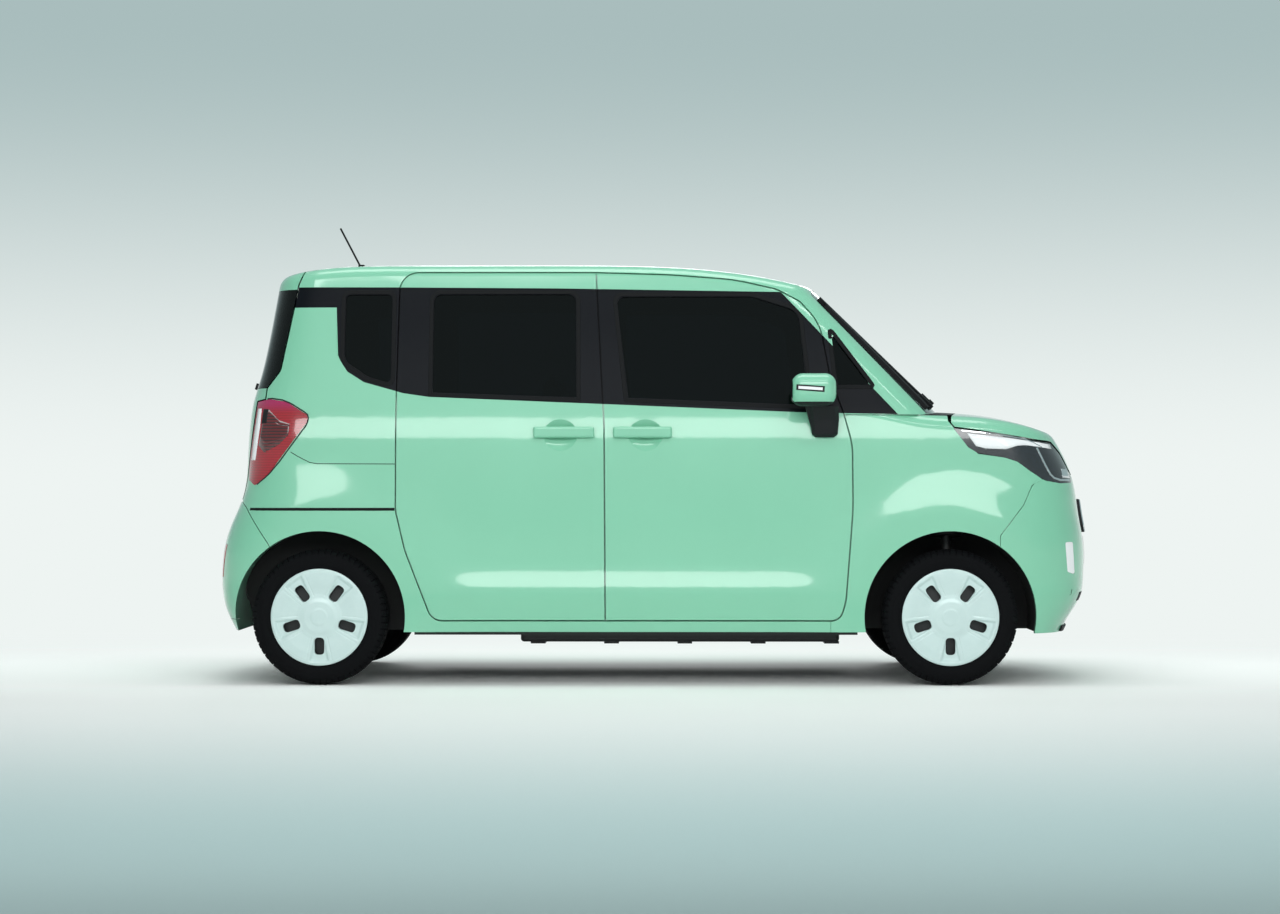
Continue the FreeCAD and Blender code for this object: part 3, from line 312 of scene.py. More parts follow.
def rounded(corners, step=0.012):
    """A closed outline's points from corners (a, b, radius)."""
    out = []
    for i, (a, b, radius) in enumerate(corners):
        here = Vector((a, b))
        back = (Vector(corners[i - 1][:2]) - here).normalized()
        ahead = (Vector(corners[(i + 1) % len(corners)][:2]) - here).normalized()
        if radius <= 0:
            out.append((a, b))
            continue
        reach = radius / math.tan(back.angle(ahead) / 2)
        count = max(3, round(2 * reach / step))
        for k in range(count + 1):
            t = k / count
            spot = here + back * reach * (1 - t) ** 2 + ahead * reach * t ** 2
            out.append((spot.x, spot.y))
    return stepped(out, 0.04, closed=True)


STRIP_ROOT = 0.001


def strip(name, skin, side, path, width, height, material, body="body", closed=False):
    """A strip with chamfered edges that lies along a path on the skin."""
    spots = [land(skin, side, a, b) for a, b in path]
    corners = []
    last = len(spots) - 1
    for i, (spot, normal) in enumerate(spots):
        before = spots[i - 1 if closed else max(0, i - 1)][0]
        after = spots[(i + 1) % len(spots) if closed else min(last, i + 1)][0]
        across = normal.cross(after - before).normalized() * width / 2
        root, top = normal * STRIP_ROOT, normal * height
        corners += [spot - across - root, spot - across * 0.8 + top, spot + across * 0.8 + top,
                    spot + across - root]
    rings = [(4 * i, 4 * ((i + 1) % len(spots))) for i in range(len(spots) if closed else last)]
    faces = [(a + k, a + (k + 1) % 4, b + (k + 1) % 4, b + k) for a, b in rings for k in range(4)]
    if not closed:
        faces += [(0, 1, 2, 3), (4 * last, 4 * last + 1, 4 * last + 2, 4 * last + 3)]
    return piece(name, corners, faces, material, body, smooth=False)


rubber_seal = grained_plastic("extruded_EPDM_rubber", "#08090B", "#0D0F12", 0.7, 0.0015, 0.2, 0.2)
FRONT_WINDOW = [(-0.155, 1.569, 0.035), (0.403, 1.569, 0.099), (0.593, 1.506, 0.069), (0.621, 1.252, 0.29),
                (0.633, 1.111, 0.003), (-0.107, 1.140, 0.003)]
REAR_WINDOW = [(-0.892, 1.579, 0.039), (-0.301, 1.579, 0.039), (-0.297, 1.142, 0.003), (-0.892, 1.162, 0.003)]
QUARTER_WINDOW = [(-1.249, 1.579, 0.029), (-1.043, 1.579, 0.029), (-1.043, 1.196, 0.029),
                  (-1.153, 1.229, 0.065), (-1.249, 1.295, 0.055)]
CORNER_WINDOW = [(0.709, 1.435, 0.008), (0.888, 1.193, 0.008), (0.733, 1.193, 0.008)]
SEAL_WIDTH = 0.018
SEAL_HEIGHT = 0.0015
for side in ("right", "left"):
    rear_door = "sliding_door" if side == "right" else "door_rear_left"
    rear_body = "body" if side == "right" else "door_rear_left"
    front_door = f"door_front_{side}"
    sealed = [("front", FRONT_WINDOW, front_door, front_door), ("rear", REAR_WINDOW, rear_door, rear_body),
              ("quarter", QUARTER_WINDOW, f"body_side_{side}", "body"),
              ("corner", CORNER_WINDOW, f"body_side_{side}", "body")]
    for window, corners, node, body in sealed:
        strip(f"seal_{window}_{side}", skin_of(node), side, rounded(corners), SEAL_WIDTH, SEAL_HEIGHT,
              rubber_seal, body, closed=True)

# Sliding door's rail: a black pressed channel below the right rear quarter, with the seam of the quarter
# panel above it.
right_side = skin_of("body_side_right")
RAIL_PATH = stepped([(-1.616, 0.703), (-1.031, 0.703)], 0.03)
strip("slide_rail", right_side, "right", RAIL_PATH, 0.013, 0.0012, rubber_seal)
SEAM_PATH = stepped([(-1.450, 0.932), (-1.420, 0.914), (-1.372, 0.890), (-1.340, 0.885), (-1.031, 0.884)],
                    0.02)
strip("quarter_seam", right_side, "right", SEAM_PATH, 0.0035, 0.0003, rubber_seal)

# Headlamps: a clear polycarbonate cover over a black bezel, with a white light bar, a chrome rim and line,
# and a small reflector at the foot. The cover's outer face is the lamp's own skin.
lamp_cover, tree, place = bare_material("polycarbonate_over_black_bezel")
facets = add(tree, "TexVoronoi", {"Vector": (place, "Object"), "Scale": 60.0})
bezel_tone = add(tree, "Mix",
                 {"Factor": (facets, "Distance"), "A": linear("#0A0D14"), "B": linear("#171C27")},
                 data_type="RGBA")
cover_shader = add(tree, "BsdfPrincipled", {
    "Base Color": (bezel_tone, "Result"), "Roughness": 0.2, "IOR": 1.58, "Coat Weight": 1.0,
    "Coat Roughness": 0.01})
add(tree, "OutputMaterial", {"Surface": (cover_shader, "BSDF")})
dress(["headlamps"], lamp_cover)

light_bar, tree, place = bare_material("frosted_acrylic_light_bar")
flutes = add(tree, "TexWave", {"Vector": (place, "Object"), "Scale": 40.0}, bands_direction="X")
flute_relief = add(tree, "Bump", {"Height": (flutes, "Fac"), "Strength": 0.25, "Distance": 0.001})
bar_shader = add(tree, "BsdfPrincipled", {
    "Base Color": linear("#F4F8FA"), "Roughness": 0.25, "IOR": 1.49, "Coat Weight": 1.0,
    "Normal": (flute_relief, "Normal")})
add(tree, "OutputMaterial", {"Surface": (bar_shader, "BSDF")})

chrome, tree, place = bare_material("bright_chrome_plate")
haze = add(tree, "TexNoise", {"Vector": (place, "Object"), "Scale": 120.0})
haze_range = add(tree, "MapRange", {"Value": (haze, "Fac"), "To Min": 0.05, "To Max": 0.12})
chrome_shader = add(tree, "BsdfPrincipled", {
    "Base Color": linear("#D5D9DC"), "Metallic": 1.0, "Roughness": (haze_range, "Result")})
add(tree, "OutputMaterial", {"Surface": (chrome_shader, "BSDF")})

SHEET_ROOT = 0.002


def sheet(name, skin, side, first_edge, second_edge, lift, material, body="body", rows=4, columns=24):
    """A patch of skin between two edges, lifted off it, with its own thin side walls."""
    def along(edge, t):
        lengths = [math.dist(p, q) for p, q in zip(edge, edge[1:])]
        goal = t * sum(lengths)
        for (p, q), length in zip(zip(edge, edge[1:]), lengths):
            if goal <= length + 1e-9:
                return tuple(m + (n - m) * goal / length for m, n in zip(p, q))
            goal -= length
        return edge[-1]

    tops = []
    bottoms = []
    for row in range(rows + 1):
        for column in range(columns + 1):
            start = along(first_edge, column / columns)
            end = along(second_edge, column / columns)
            a, b = [s + (e - s) * row / rows for s, e in zip(start, end)]
            spot, normal = land(skin, side, a, b)
            tops.append(spot + normal * lift)
            bottoms.append(spot - normal * SHEET_ROOT)
    width = columns + 1
    count = len(tops)
    faces = [(r * width + c, r * width + c + 1, (r + 1) * width + c + 1, (r + 1) * width + c)
             for r in range(rows) for c in range(columns)]
    faces += [tuple(count + i for i in reversed(face)) for face in faces]
    rim = ([c for c in range(width)] + [r * width + columns for r in range(1, rows + 1)]
           + [rows * width + c for c in range(columns - 1, -1, -1)]
           + [r * width for r in range(rows - 1, 0, -1)])
    faces += [(i, j, count + j, count + i) for i, j in zip(rim, rim[1:] + rim[:1])]
    return piece(name, tops + bottoms, faces, material, body)


lamp_skin = skin_of("headlamps")
BAR_TOP = [(1.257, 1.006), (1.428, 0.988), (1.600, 0.963)]
BAR_BOTTOM = [(1.292, 0.956), (1.330, 0.946), (1.414, 0.943), (1.457, 0.957), (1.493, 0.960), (1.606, 0.945)]
CHROME_RIM = [(1.540, 0.950), (1.552, 0.925), (1.574, 0.880), (1.596, 0.842), (1.612, 0.828), (1.640, 0.820),
              (1.684, 0.820)]
BEZEL_LINE = [(1.235, 1.018), (1.428, 0.999), (1.602, 0.972)]
REFLECTOR_TOP = [(1.646, 0.866), (1.684, 0.862)]
REFLECTOR_BOTTOM = [(1.650, 0.830), (1.688, 0.828)]
for side in ("right", "left"):
    sheet(f"light_bar_{side}", lamp_skin, side, BAR_TOP, BAR_BOTTOM, 0.0008, light_bar)
    strip(f"lamp_rim_{side}", lamp_skin, side, stepped(CHROME_RIM, 0.01), 0.009, 0.0015, chrome)
    strip(f"lamp_line_{side}", lamp_skin, side, stepped(BEZEL_LINE, 0.02), 0.005, 0.001, chrome)
    sheet(f"lamp_reflector_{side}", lamp_skin, side, REFLECTOR_TOP, REFLECTOR_BOTTOM, 0.001, chrome,
          columns=6)

# Tail lamps: a red acrylic cover in a black line, with a clear ribbed strip near the tail, a darker ribbed
# field ahead of it and a black divider between the two. Along the cover's top edge the red turns magenta,
# a painted sheen.
red_acrylic, tree, place = bare_material("red_acrylic_lens")
heights = add(tree, "SeparateXYZ", {"Vector": (place, "Object")})
prisms = add(tree, "TexWave", {"Vector": (place, "Object"), "Scale": 30.0}, bands_direction="Z")
lens_tone = add(tree, "Mix", {"Factor": (prisms, "Fac"), "A": linear("#8E0719"), "B": linear("#A80B22")},
                data_type="RGBA")
# The magenta band along the top edge is a painted sheen, not a colour of the acrylic.
painted_sheen_band = add(tree, "MapRange", {"Value": (heights, "Z"), "From Min": 1.085, "From Max": 1.135},
                 interpolation_type="SMOOTHSTEP")
tone_with_painted_sheen = add(tree, "Mix", {
    "Factor": (painted_sheen_band, "Result"), "A": (lens_tone, "Result"), "B": linear("#A50F55")}, data_type="RGBA")
lens_shader = add(tree, "BsdfPrincipled", {
    "Base Color": (tone_with_painted_sheen, "Result"), "Roughness": 0.12, "IOR": 1.49, "Coat Weight": 1.0,
    "Coat Roughness": 0.01})
add(tree, "OutputMaterial", {"Surface": (lens_shader, "BSDF")})
dress(["tail_lamps"], red_acrylic)

dark_lens, tree, place = bare_material("ribbed_dark_red_lens")
ribs = add(tree, "TexWave", {"Vector": (place, "Object"), "Scale": 26.0}, bands_direction="Z")
rib_tone = add(tree, "Mix", {"Factor": (ribs, "Fac"), "A": linear("#2A0308"), "B": linear("#6A0712")},
               data_type="RGBA")
dark_shader = add(tree, "BsdfPrincipled", {
    "Base Color": (rib_tone, "Result"), "Roughness": 0.15, "IOR": 1.49, "Coat Weight": 1.0,
    "Coat Roughness": 0.01})
add(tree, "OutputMaterial", {"Surface": (dark_shader, "BSDF")})

tail_skin = skin_of("tail_lamps")
lamp_seat_skin = skin_of("tail_lamps", "body_side_right", "body_side_left")
LAMP_EDGE = [(-1.598, 1.139), (-1.562, 1.146), (-1.530, 1.148), (-1.488, 1.142), (-1.453, 1.128),
             (-1.398, 1.094), (-1.384, 1.083), (-1.380, 1.068), (-1.384, 1.050), (-1.392, 1.034),
             (-1.496, 0.893), (-1.537, 0.845), (-1.559, 0.826), (-1.590, 0.802)]
BLACK_FRONT = [(-1.545, 1.105), (-1.552, 1.048)]
BLACK_REAR = [(-1.566, 1.105), (-1.574, 1.048)]
CLEAR_FRONT = [(-1.576, 1.108), (-1.581, 1.030), (-1.600, 0.900)]
CLEAR_REAR = [(-1.592, 1.108), (-1.603, 1.030), (-1.618, 0.900)]
DARK_TOP = [(-1.560, 1.105), (-1.545, 1.105), (-1.500, 1.060), (-1.455, 1.045)]
DARK_BOTTOM = [(-1.585, 0.960), (-1.560, 0.930), (-1.500, 0.960), (-1.460, 1.000)]
for side in ("right", "left"):
    sheet(f"reversing_lens_{side}", tail_skin, side, CLEAR_FRONT, CLEAR_REAR, 0.0008, light_bar, rows=2)
    sheet(f"stop_lens_{side}", tail_skin, side, DARK_TOP, DARK_BOTTOM, 0.0006, dark_lens)
    sheet(f"lamp_divider_{side}", tail_skin, side, BLACK_FRONT, BLACK_REAR, 0.0010, black_plastic, columns=4)
    strip(f"lamp_edge_{side}", lamp_seat_skin, side, stepped(LAMP_EDGE, 0.012), 0.006, 0.0012, black_plastic)

# Small lamps: clear upright lamps in the front bumper's corners and red reflectors low on the rear bumper.
dress(["corner_lamps"], light_bar)
rear_bumper_skin = skin_of("rear_bumper")
for side, sign in (("right", -1), ("left", 1)):
    reflector = stepped([(sign * 0.640, 0.430), (sign * 0.655, 0.560)], 0.02)
    strip(f"rear_reflector_{side}", rear_bumper_skin, "rear", reflector, 0.028, 0.002, red_acrylic)

# Grille and lower intake: moulded black slats in a chrome frame.
dress(["grille_panel"], black_plastic)
grille_skin = skin_of("grille_panel")
GRILLE_FRAME = [(-0.392, 0.612, 0.03), (-0.373, 0.735, 0.03), (0.373, 0.735, 0.03), (0.392, 0.612, 0.03)]
strip("grille_frame", grille_skin, "front", rounded(GRILLE_FRAME), 0.014, 0.004, chrome, closed=True)
for name, levels, half, width, height in (("grille_slat", (0.640, 0.664, 0.688, 0.712), 0.355, 0.007, 0.005),
                                          ("intake_slat", (0.365, 0.390, 0.415), 0.395, 0.008, 0.006)):
    for i, z in enumerate(levels):
        slat = stepped([(-half, z), (half, z)], 0.03)
        strip(f"{name}_{i}", grille_skin, "front", slat, width, height, black_plastic)

bumper_skin = skin_of("front_bumper")
strip("chin_lip", bumper_skin, "front", stepped([(-0.62, 0.222), (0.62, 0.222)], 0.04), 0.026, 0.009,
      black_plastic)
for side in ("right", "left"):
    sheet(f"intake_end_{side}", bumper_skin, side, [(1.712, 0.332), (1.762, 0.332)],
          [(1.726, 0.368), (1.766, 0.368)], 0.0008, black_plastic, columns=8)

# Number plates: blank pressed aluminium under white reflective film, screwed to the bumper and the
# tailgate.
plate_film, tree, place = bare_material("white_reflective_film")
beads = add(tree, "TexVoronoi", {"Vector": (place, "Object"), "Scale": 500.0})
bead_relief = add(tree, "Bump", {"Height": (beads, "Distance"), "Strength": 0.1, "Distance": 0.0003})
film_shader = add(tree, "BsdfPrincipled", {
    "Base Color": linear("#EEF0EE"), "Roughness": 0.35, "Normal": (bead_relief, "Normal")})
add(tree, "OutputMaterial", {"Surface": (film_shader, "BSDF")})

SURROUND_RIM = 0.008


def plate(name, node, side, low, width, height, body="body"):
    """A blank plate and the black surround that holds it."""
    skin = skin_of(node)
    for part, rim, lift, finish in (("_surround", SURROUND_RIM, 0.006, black_plastic),
                                    ("", 0.0, 0.0085, plate_film)):
        half = width / 2 + rim
        bottom, top = low - rim, low + height + rim
        sheet(name + part, skin, side, [(-half, bottom), (half, bottom)], [(-half, top), (half, top)], lift,
              finish, body)


plate("front_plate", "front_bumper", "front", 0.475, 0.520, 0.110)
plate("rear_plate", "tailgate", "rear", 0.800, 0.335, 0.170, "tailgate")

# Wipers and cowl: painted steel arms with rubber blades, on a moulded cowl under the windscreen, and one on
# the tail glass. The windscreen's two sides have rubber mouldings.
dress(["cowl"], black_plastic)
arm_paint = grained_plastic("baked_black_enamel", "#0B0C0E", "#121417", 0.35, 0.004, 0.1)
screen_skin = skin_of("windscreen")
tail_glass_skin = skin_of("tailgate_glass")
PIVOT_CAP_HALF = 0.014


def wiper(name, skin, side, pivot, tip, blade, body="body"):
    """A spring arm from its pivot to the middle of a blade, and the blade itself."""
    middle = [(p + q) / 2 for p, q in zip(*blade)]
    strip(f"{name}_blade", skin, side, stepped(blade, 0.03), 0.012, 0.010, rubber_seal, body)
    strip(f"{name}_arm", skin, side, stepped([pivot, tip, tuple(middle)], 0.03), 0.016, 0.018, arm_paint,
          body)
    cap = stepped([(pivot[0] - PIVOT_CAP_HALF, pivot[1]), (pivot[0] + PIVOT_CAP_HALF, pivot[1])],
                  PIVOT_CAP_HALF)
    strip(f"{name}_cap", skin, side, cap, 0.030, 0.024, black_plastic, body)


SCREEN_EDGE = [(0.655, 1.105), (0.630, 1.240), (0.600, 1.400), (0.566, 1.580)]
for side, sign in (("right", -1), ("left", 1)):
    edge = stepped([(sign * y, z) for y, z in SCREEN_EDGE], 0.03)
    strip(f"screen_moulding_{side}", screen_skin, "front", edge, 0.046, 0.016, rubber_seal)
wiper("wiper_left", screen_skin, "front", (0.380, 1.130), (0.300, 1.140), [(0.500, 1.165), (-0.060, 1.150)])
wiper("wiper_right", screen_skin, "front", (-0.180, 1.135), (-0.260, 1.145),
      [(-0.130, 1.165), (-0.600, 1.160)])
wiper("rear_wiper", tail_glass_skin, "rear", (0.0, 1.215), (0.10, 1.225), [(0.020, 1.245), (0.330, 1.245)],
      "tailgate")
strip("rear_wiper_hub", tail_glass_skin, "rear", [(-0.028, 1.206), (0.0, 1.206), (0.028, 1.206)], 0.034,
      0.050, black_plastic, "tailgate")

# Mirrors: a painted cap with a clear turn signal let into it, on a black moulded foot, with silvered glass
# behind.
mirror_glass, tree, place = bare_material("silvered_mirror_glass")
film = add(tree, "TexNoise", {"Vector": (place, "Object"), "Scale": 8.0})
film_range = add(tree, "MapRange", {"Value": (film, "Fac"), "To Min": 0.01, "To Max": 0.03})
silver = add(tree, "BsdfPrincipled", {
    "Base Color": linear("#C9D2D6"), "Metallic": 1.0, "Roughness": (film_range, "Result")})
add(tree, "OutputMaterial", {"Surface": (silver, "BSDF")})

CAP_FLOOR = 1.128
CAP_INNER = 0.815
FACE_DEPTH = 0.004


def mirror_foot(centre, outward):
    return centre.z < CAP_FLOOR or abs(centre.y) < CAP_INNER


def mirror_face(centre, outward):
    return centre.x < face_limit and centre.z > CAP_FLOOR and abs(centre.y) > CAP_INNER


FOOT_LEVELS = [(0.990, 0.650, 0.724, 0.770, 0.792), (1.002, 0.636, 0.738, 0.770, 0.806),
               (1.060, 0.628, 0.742, 0.762, 0.830), (1.112, 0.622, 0.738, 0.756, 0.872)]
for side, sign in (("right", -1), ("left", 1)):
    node = f"mirror_{side}"
    face_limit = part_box(node)[0].x + FACE_DEPTH
    dress([node], mint_paint, (black_plastic, mirror_foot), (mirror_glass, mirror_face))
    mirror_skin = skin_of(node)
    body = f"door_front_{side}"
    strip(f"signal_bezel_{side}", mirror_skin, side, stepped([(0.566, 1.184), (0.676, 1.176)], 0.01), 0.026,
          0.0010, black_plastic, body)
    strip(f"turn_signal_{side}", mirror_skin, side, stepped([(0.574, 1.183), (0.668, 1.177)], 0.01), 0.013,
          0.0025, light_bar, body)
    foot = []
    for z, x0, x1, inner, outer in FOOT_LEVELS:
        cut = outer - 0.012
        ring = ((x0, inner), (x0, cut), (x0 + 0.014, outer), (x1 - 0.014, outer), (x1, cut), (x1, inner))
        foot += [(x, sign * y, z) for x, y in ring]
    rings = range(len(FOOT_LEVELS) - 1)
    walls = [(6 * r + i, 6 * r + (i + 1) % 6, 6 * r + 6 + (i + 1) % 6, 6 * r + 6 + i) for r in rings
             for i in range(6)]
    walls += [tuple(range(6)), tuple(range(len(foot) - 6, len(foot)))]
    piece(f"mirror_foot_{side}", foot, walls, black_plastic, body, smooth=False)

# Aerial: a short flexible rod under a rubber coat, screwed into the roof.
dress(["antenna"], rubber_seal)

# Wheels: pressed steel rims in black dip paint, radial tyres with a ribbed road tread, and push-on covers
# moulded in ABS and sprayed silver-white. The covers have five slots, each at the foot of a pressed hollow
# that opens outwards.
AXLES = {"front_right": (1.188, -0.705, -1), "front_left": (1.188, 0.705, 1),
         "rear_right": (-1.332, -0.705, -1), "rear_left": (-1.332, 0.705, 1)}
AXLE_HEIGHT = 0.272
tyre_rubber = grained_plastic("vulcanised_tyre_rubber", "#050608", "#090A0D", 0.78, 0.0018, 0.15, 0.12)
dip_paint = grained_plastic("black_dip_paint_on_steel", "#141517", "#1B1C1F", 0.45, 0.006, 0.08)
dress([f"rim_{name}" for name in AXLES], dip_paint)

cover_coat, tree, place = bare_material("silver_white_sprayed_ABS")
mist = add(tree, "TexNoise", {"Vector": (place, "Object"), "Scale": 40.0, "Detail": 3.0})
mist_tone = add(tree, "Mix", {"Factor": (mist, "Fac"), "A": linear("#C3DAD8"), "B": linear("#CCE1DF")},
                data_type="RGBA")
cover_shader = add(tree, "BsdfPrincipled", {
    "Base Color": (mist_tone, "Result"), "Metallic": 0.1, "Roughness": 0.38, "Coat Weight": 0.4,
    "Coat Roughness": 0.1})
add(tree, "OutputMaterial", {"Surface": (cover_shader, "BSDF")})

TREAD_RADIUS = 0.272
TREAD_DROP = 0.003
TREAD_HALF = 0.058
GROOVES = (-0.036, -0.012, 0.012, 0.036)
GROOVE_HALF = 0.004
GROOVE_DEPTH = 0.007
SIPE_DEPTH = 0.0045
PITCHES = 64
PITCH_SHARES = ((0.0, False), (0.78, False), (0.84, True), (0.94, True))
TREAD_EDGE = 0.0600
SHOULDER = 0.040
FIRST_CUT = 11
SIDEWALL = [(0.0620, 0.1830), (0.0680, 0.1865), (0.0740, 0.1930), (0.0775, 0.2000), (0.0772, 0.2025),
            (0.0800, 0.2090), (0.0820, 0.2180), (0.0825, 0.2250), (0.0818, 0.2330), (0.0822, 0.2335),
            (0.0808, 0.2410), (0.0785, 0.2490), (0.0750, 0.2560), (0.0705, 0.2612), (0.0660, 0.2650)]


def tread_height(a):
    return TREAD_RADIUS - TREAD_DROP * (a / TREAD_HALF) ** 2


def tyre_profile():
    """(across, radius, sunk by a sipe) from one bead over the tread to the other."""
    crown = []
    edge = -TREAD_EDGE
    for groove in GROOVES:
        left, right = groove - GROOVE_HALF, groove + GROOVE_HALF
        crown += [(edge, tread_height(edge), True), (left - 0.001, tread_height(left), True),
                  (left, tread_height(left) - GROOVE_DEPTH, False),
                  (right, tread_height(right) - GROOVE_DEPTH, False)]
        edge = right + 0.001
    crown += [(edge, tread_height(edge), True), (TREAD_EDGE, tread_height(TREAD_EDGE), True)]
    wall = [(a, r, i > FIRST_CUT) for i, (a, r) in enumerate(SIDEWALL)]
    return [(-a, r, sipe) for a, r, sipe in wall] + crown + wall[::-1]


def tyre(name, x, y):
    profile = tyre_profile()
    corners = []
    columns = [(pitch + share, sunk) for pitch in range(PITCHES) for share, sunk in PITCH_SHARES]
    for turn, sunk in columns:
        angle = 2 * math.pi * turn / PITCHES
        for a, r, sipe in profile:
            cut = sunk and sipe and (abs(a) > SHOULDER or round(turn) % 2 == 0)
            reach = r - SIPE_DEPTH if cut else r
            corners.append((x + reach * math.sin(angle), y + a, AXLE_HEIGHT + reach * math.cos(angle)))
    count = len(profile)
    faces = []
    for column in range(len(columns)):
        here, there = column * count, (column + 1) % len(columns) * count
        faces += [(here + i, here + (i + 1) % count, there + (i + 1) % count, there + i)
                  for i in range(count)]
    made = piece(f"tread_tyre_{name}", corners, faces, tyre_rubber, f"wheel_{name}", smooth=False)
    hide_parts(f"tyre_{name}")


COVER_RADIUS = 0.1935
COVER_FACE = [(0.0, 0.0850), (0.030, 0.0850), (0.036, 0.0838), (0.060, 0.0826), (0.076, 0.0795),
              (0.092, 0.0782), (0.110, 0.0792), (0.150, 0.0818), (0.186, 0.0818), (0.1905, 0.0808),
              (COVER_RADIUS, 0.0785)]
COVER_BACK = [(0.0, 0.0490), (0.090, 0.0490), (0.160, 0.0565), (0.173, 0.0650), (0.184, 0.0670),
              (COVER_RADIUS, 0.0750)]
SLOT_COUNT = 5
SLOT_INNER, SLOT_OUTER, SLOT_HALF = 0.097, 0.135, 0.0345
SLOT_MIDDLE = 0.116
HOLLOW_START, HOLLOW_END = 0.084, 0.180
HOLLOW_DEPTH = 0.0085
HOLLOW_HALF = 0.024
HOLLOW_FLARE = 0.22
LINE_START, LINE_END = 0.080, 0.180
LINE_GAP = 0.016
LINE_HALF = 0.0014
LINE_DEPTH = 0.0009
RING_RADIUS = 0.181


def level(points, at):
    """The height of a line of (place, height) points at a place."""
    for (a0, b0), (a1, b1) in zip(points, points[1:]):
        if at <= a1:
            return b0 + (b1 - b0) * (at - a0) / (a1 - a0)
    return points[-1][1]


def eased(t):
    t = max(0.0, min(1.0, t))
    return t * t * (3 - 2 * t)


def cover_height(radius, angle):
    """The cover's face: a shallow dish, less the hollow round the nearest slot and its pressed line."""
    step = 2 * math.pi / SLOT_COUNT
    turn = (angle + step / 2) % step - step / 2
    out, aside = radius * math.cos(turn), abs(radius * math.sin(turn))
    half = HOLLOW_HALF + HOLLOW_FLARE * (out - SLOT_MIDDLE)
    along = eased((out - HOLLOW_START) / 0.014) * eased((HOLLOW_END - out) / 0.012)
    hollow = HOLLOW_DEPTH * along * eased((half + 0.005 - aside) / 0.010)
    off_line = abs(aside - half - LINE_GAP) if out > LINE_START else 1.0
    line = LINE_DEPTH * eased(1.6 - off_line / LINE_HALF) * eased((LINE_END - out) / 0.006)
    off_ring = abs(radius - RING_RADIUS)
    ring = LINE_DEPTH * eased(1.6 - off_ring / LINE_HALF) * eased((aside - half - 0.014) / 0.004)
    return level(COVER_FACE, radius) - hollow - max(line, ring)


RINGS = 66
SPOKES = 360
rings = [COVER_RADIUS * (i + 1) / RINGS for i in range(RINGS)]
slot_angles = [math.pi + 2 * math.pi * i / SLOT_COUNT for i in range(SLOT_COUNT)]
back_start = 1 + RINGS * SPOKES
cover_corners = []
for height in (cover_height, lambda radius, angle: level(COVER_BACK, radius)):
    cover_corners.append((0.0, height(0.0, 0.0), 0.0))
    for radius in rings:
        for spoke in range(SPOKES):
            angle = 2 * math.pi * spoke / SPOKES
            cover_corners.append((radius * math.sin(angle + math.pi), height(radius, angle),
                                  radius * math.cos(angle + math.pi)))
cover_faces = []
for start in (0, back_start):
    for spoke in range(SPOKES):
        following = (spoke + 1) % SPOKES
        cover_faces.append((start, start + 1 + spoke, start + 1 + following))
        for ring in range(RINGS - 1):
            low, high = start + 1 + ring * SPOKES, start + 1 + (ring + 1) * SPOKES
            cover_faces.append((low + spoke, high + spoke, high + following, low + following))
rim_front = 1 + (RINGS - 1) * SPOKES
rim_back = back_start + rim_front
cover_faces += [(rim_front + i, rim_back + i, rim_back + (i + 1) % SPOKES, rim_front + (i + 1) % SPOKES)
                for i in range(SPOKES)]


def punched(mesh, cutters):
    """The mesh less each cutter, as a new mesh."""
    whole = bpy.data.objects.new("blank", mesh)
    bpy.context.collection.objects.link(whole)
    for cutter in cutters:
        bpy.context.collection.objects.link(cutter)
        cut = whole.modifiers.new("slot", "BOOLEAN")
        cut.operation = "DIFFERENCE"
        cut.solver = "EXACT"
        cut.object = cutter
    bpy.context.view_layer.update()
    graph = bpy.context.evaluated_depsgraph_get()
    result = bpy.data.meshes.new_from_object(whole.evaluated_get(graph))
    for used in [whole] + cutters:
        bpy.data.objects.remove(used)
    return result


SLOT_WAIST = SLOT_HALF / 1.75
SLOT_LOW, SLOT_HIGH = SLOT_INNER - 0.0155, SLOT_OUTER + 0.0155
SLOT_OUTLINE = rounded([(-SLOT_WAIST, SLOT_LOW, 0.017), (-SLOT_WAIST, SLOT_HIGH, 0.017),
                        (SLOT_WAIST, SLOT_HIGH, 0.017), (SLOT_WAIST, SLOT_LOW, 0.017)], step=0.003)
slot_cutters = []
for angle in slot_angles:
    ends = [(u * math.cos(angle) + v * math.sin(angle), depth, v * math.cos(angle) - u * math.sin(angle))
            for depth in (0.03, 0.10) for u, v in SLOT_OUTLINE]
    count = len(SLOT_OUTLINE)
    walls = [(i, (i + 1) % count, count + (i + 1) % count, count + i) for i in range(count)]
    walls += [tuple(range(count)), tuple(range(2 * count - 1, count - 1, -1))]
    slot_cutters.append(bpy.data.objects.new("slot_cutter", closed_mesh("slot_cutter", ends, walls)))
cover_blank = punched(closed_mesh("cover_blank", cover_corners, cover_faces), slot_cutters)
blank_corners = [vertex.co.copy() for vertex in cover_blank.vertices]
blank_faces = [tuple(face.vertices) for face in cover_blank.polygons]
for name, (x, y, side) in AXLES.items():
    tyre(name, x, y)
    placed = [(x + c.x, y + side * c.y, AXLE_HEIGHT + c.z) for c in blank_corners]
    cover = piece(f"slotted_cover_{name}", placed, blank_faces, cover_coat, f"wheel_{name}")
    cover.data.set_sharp_from_angle(angle=math.radians(35))
    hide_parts(f"cover_{name}")

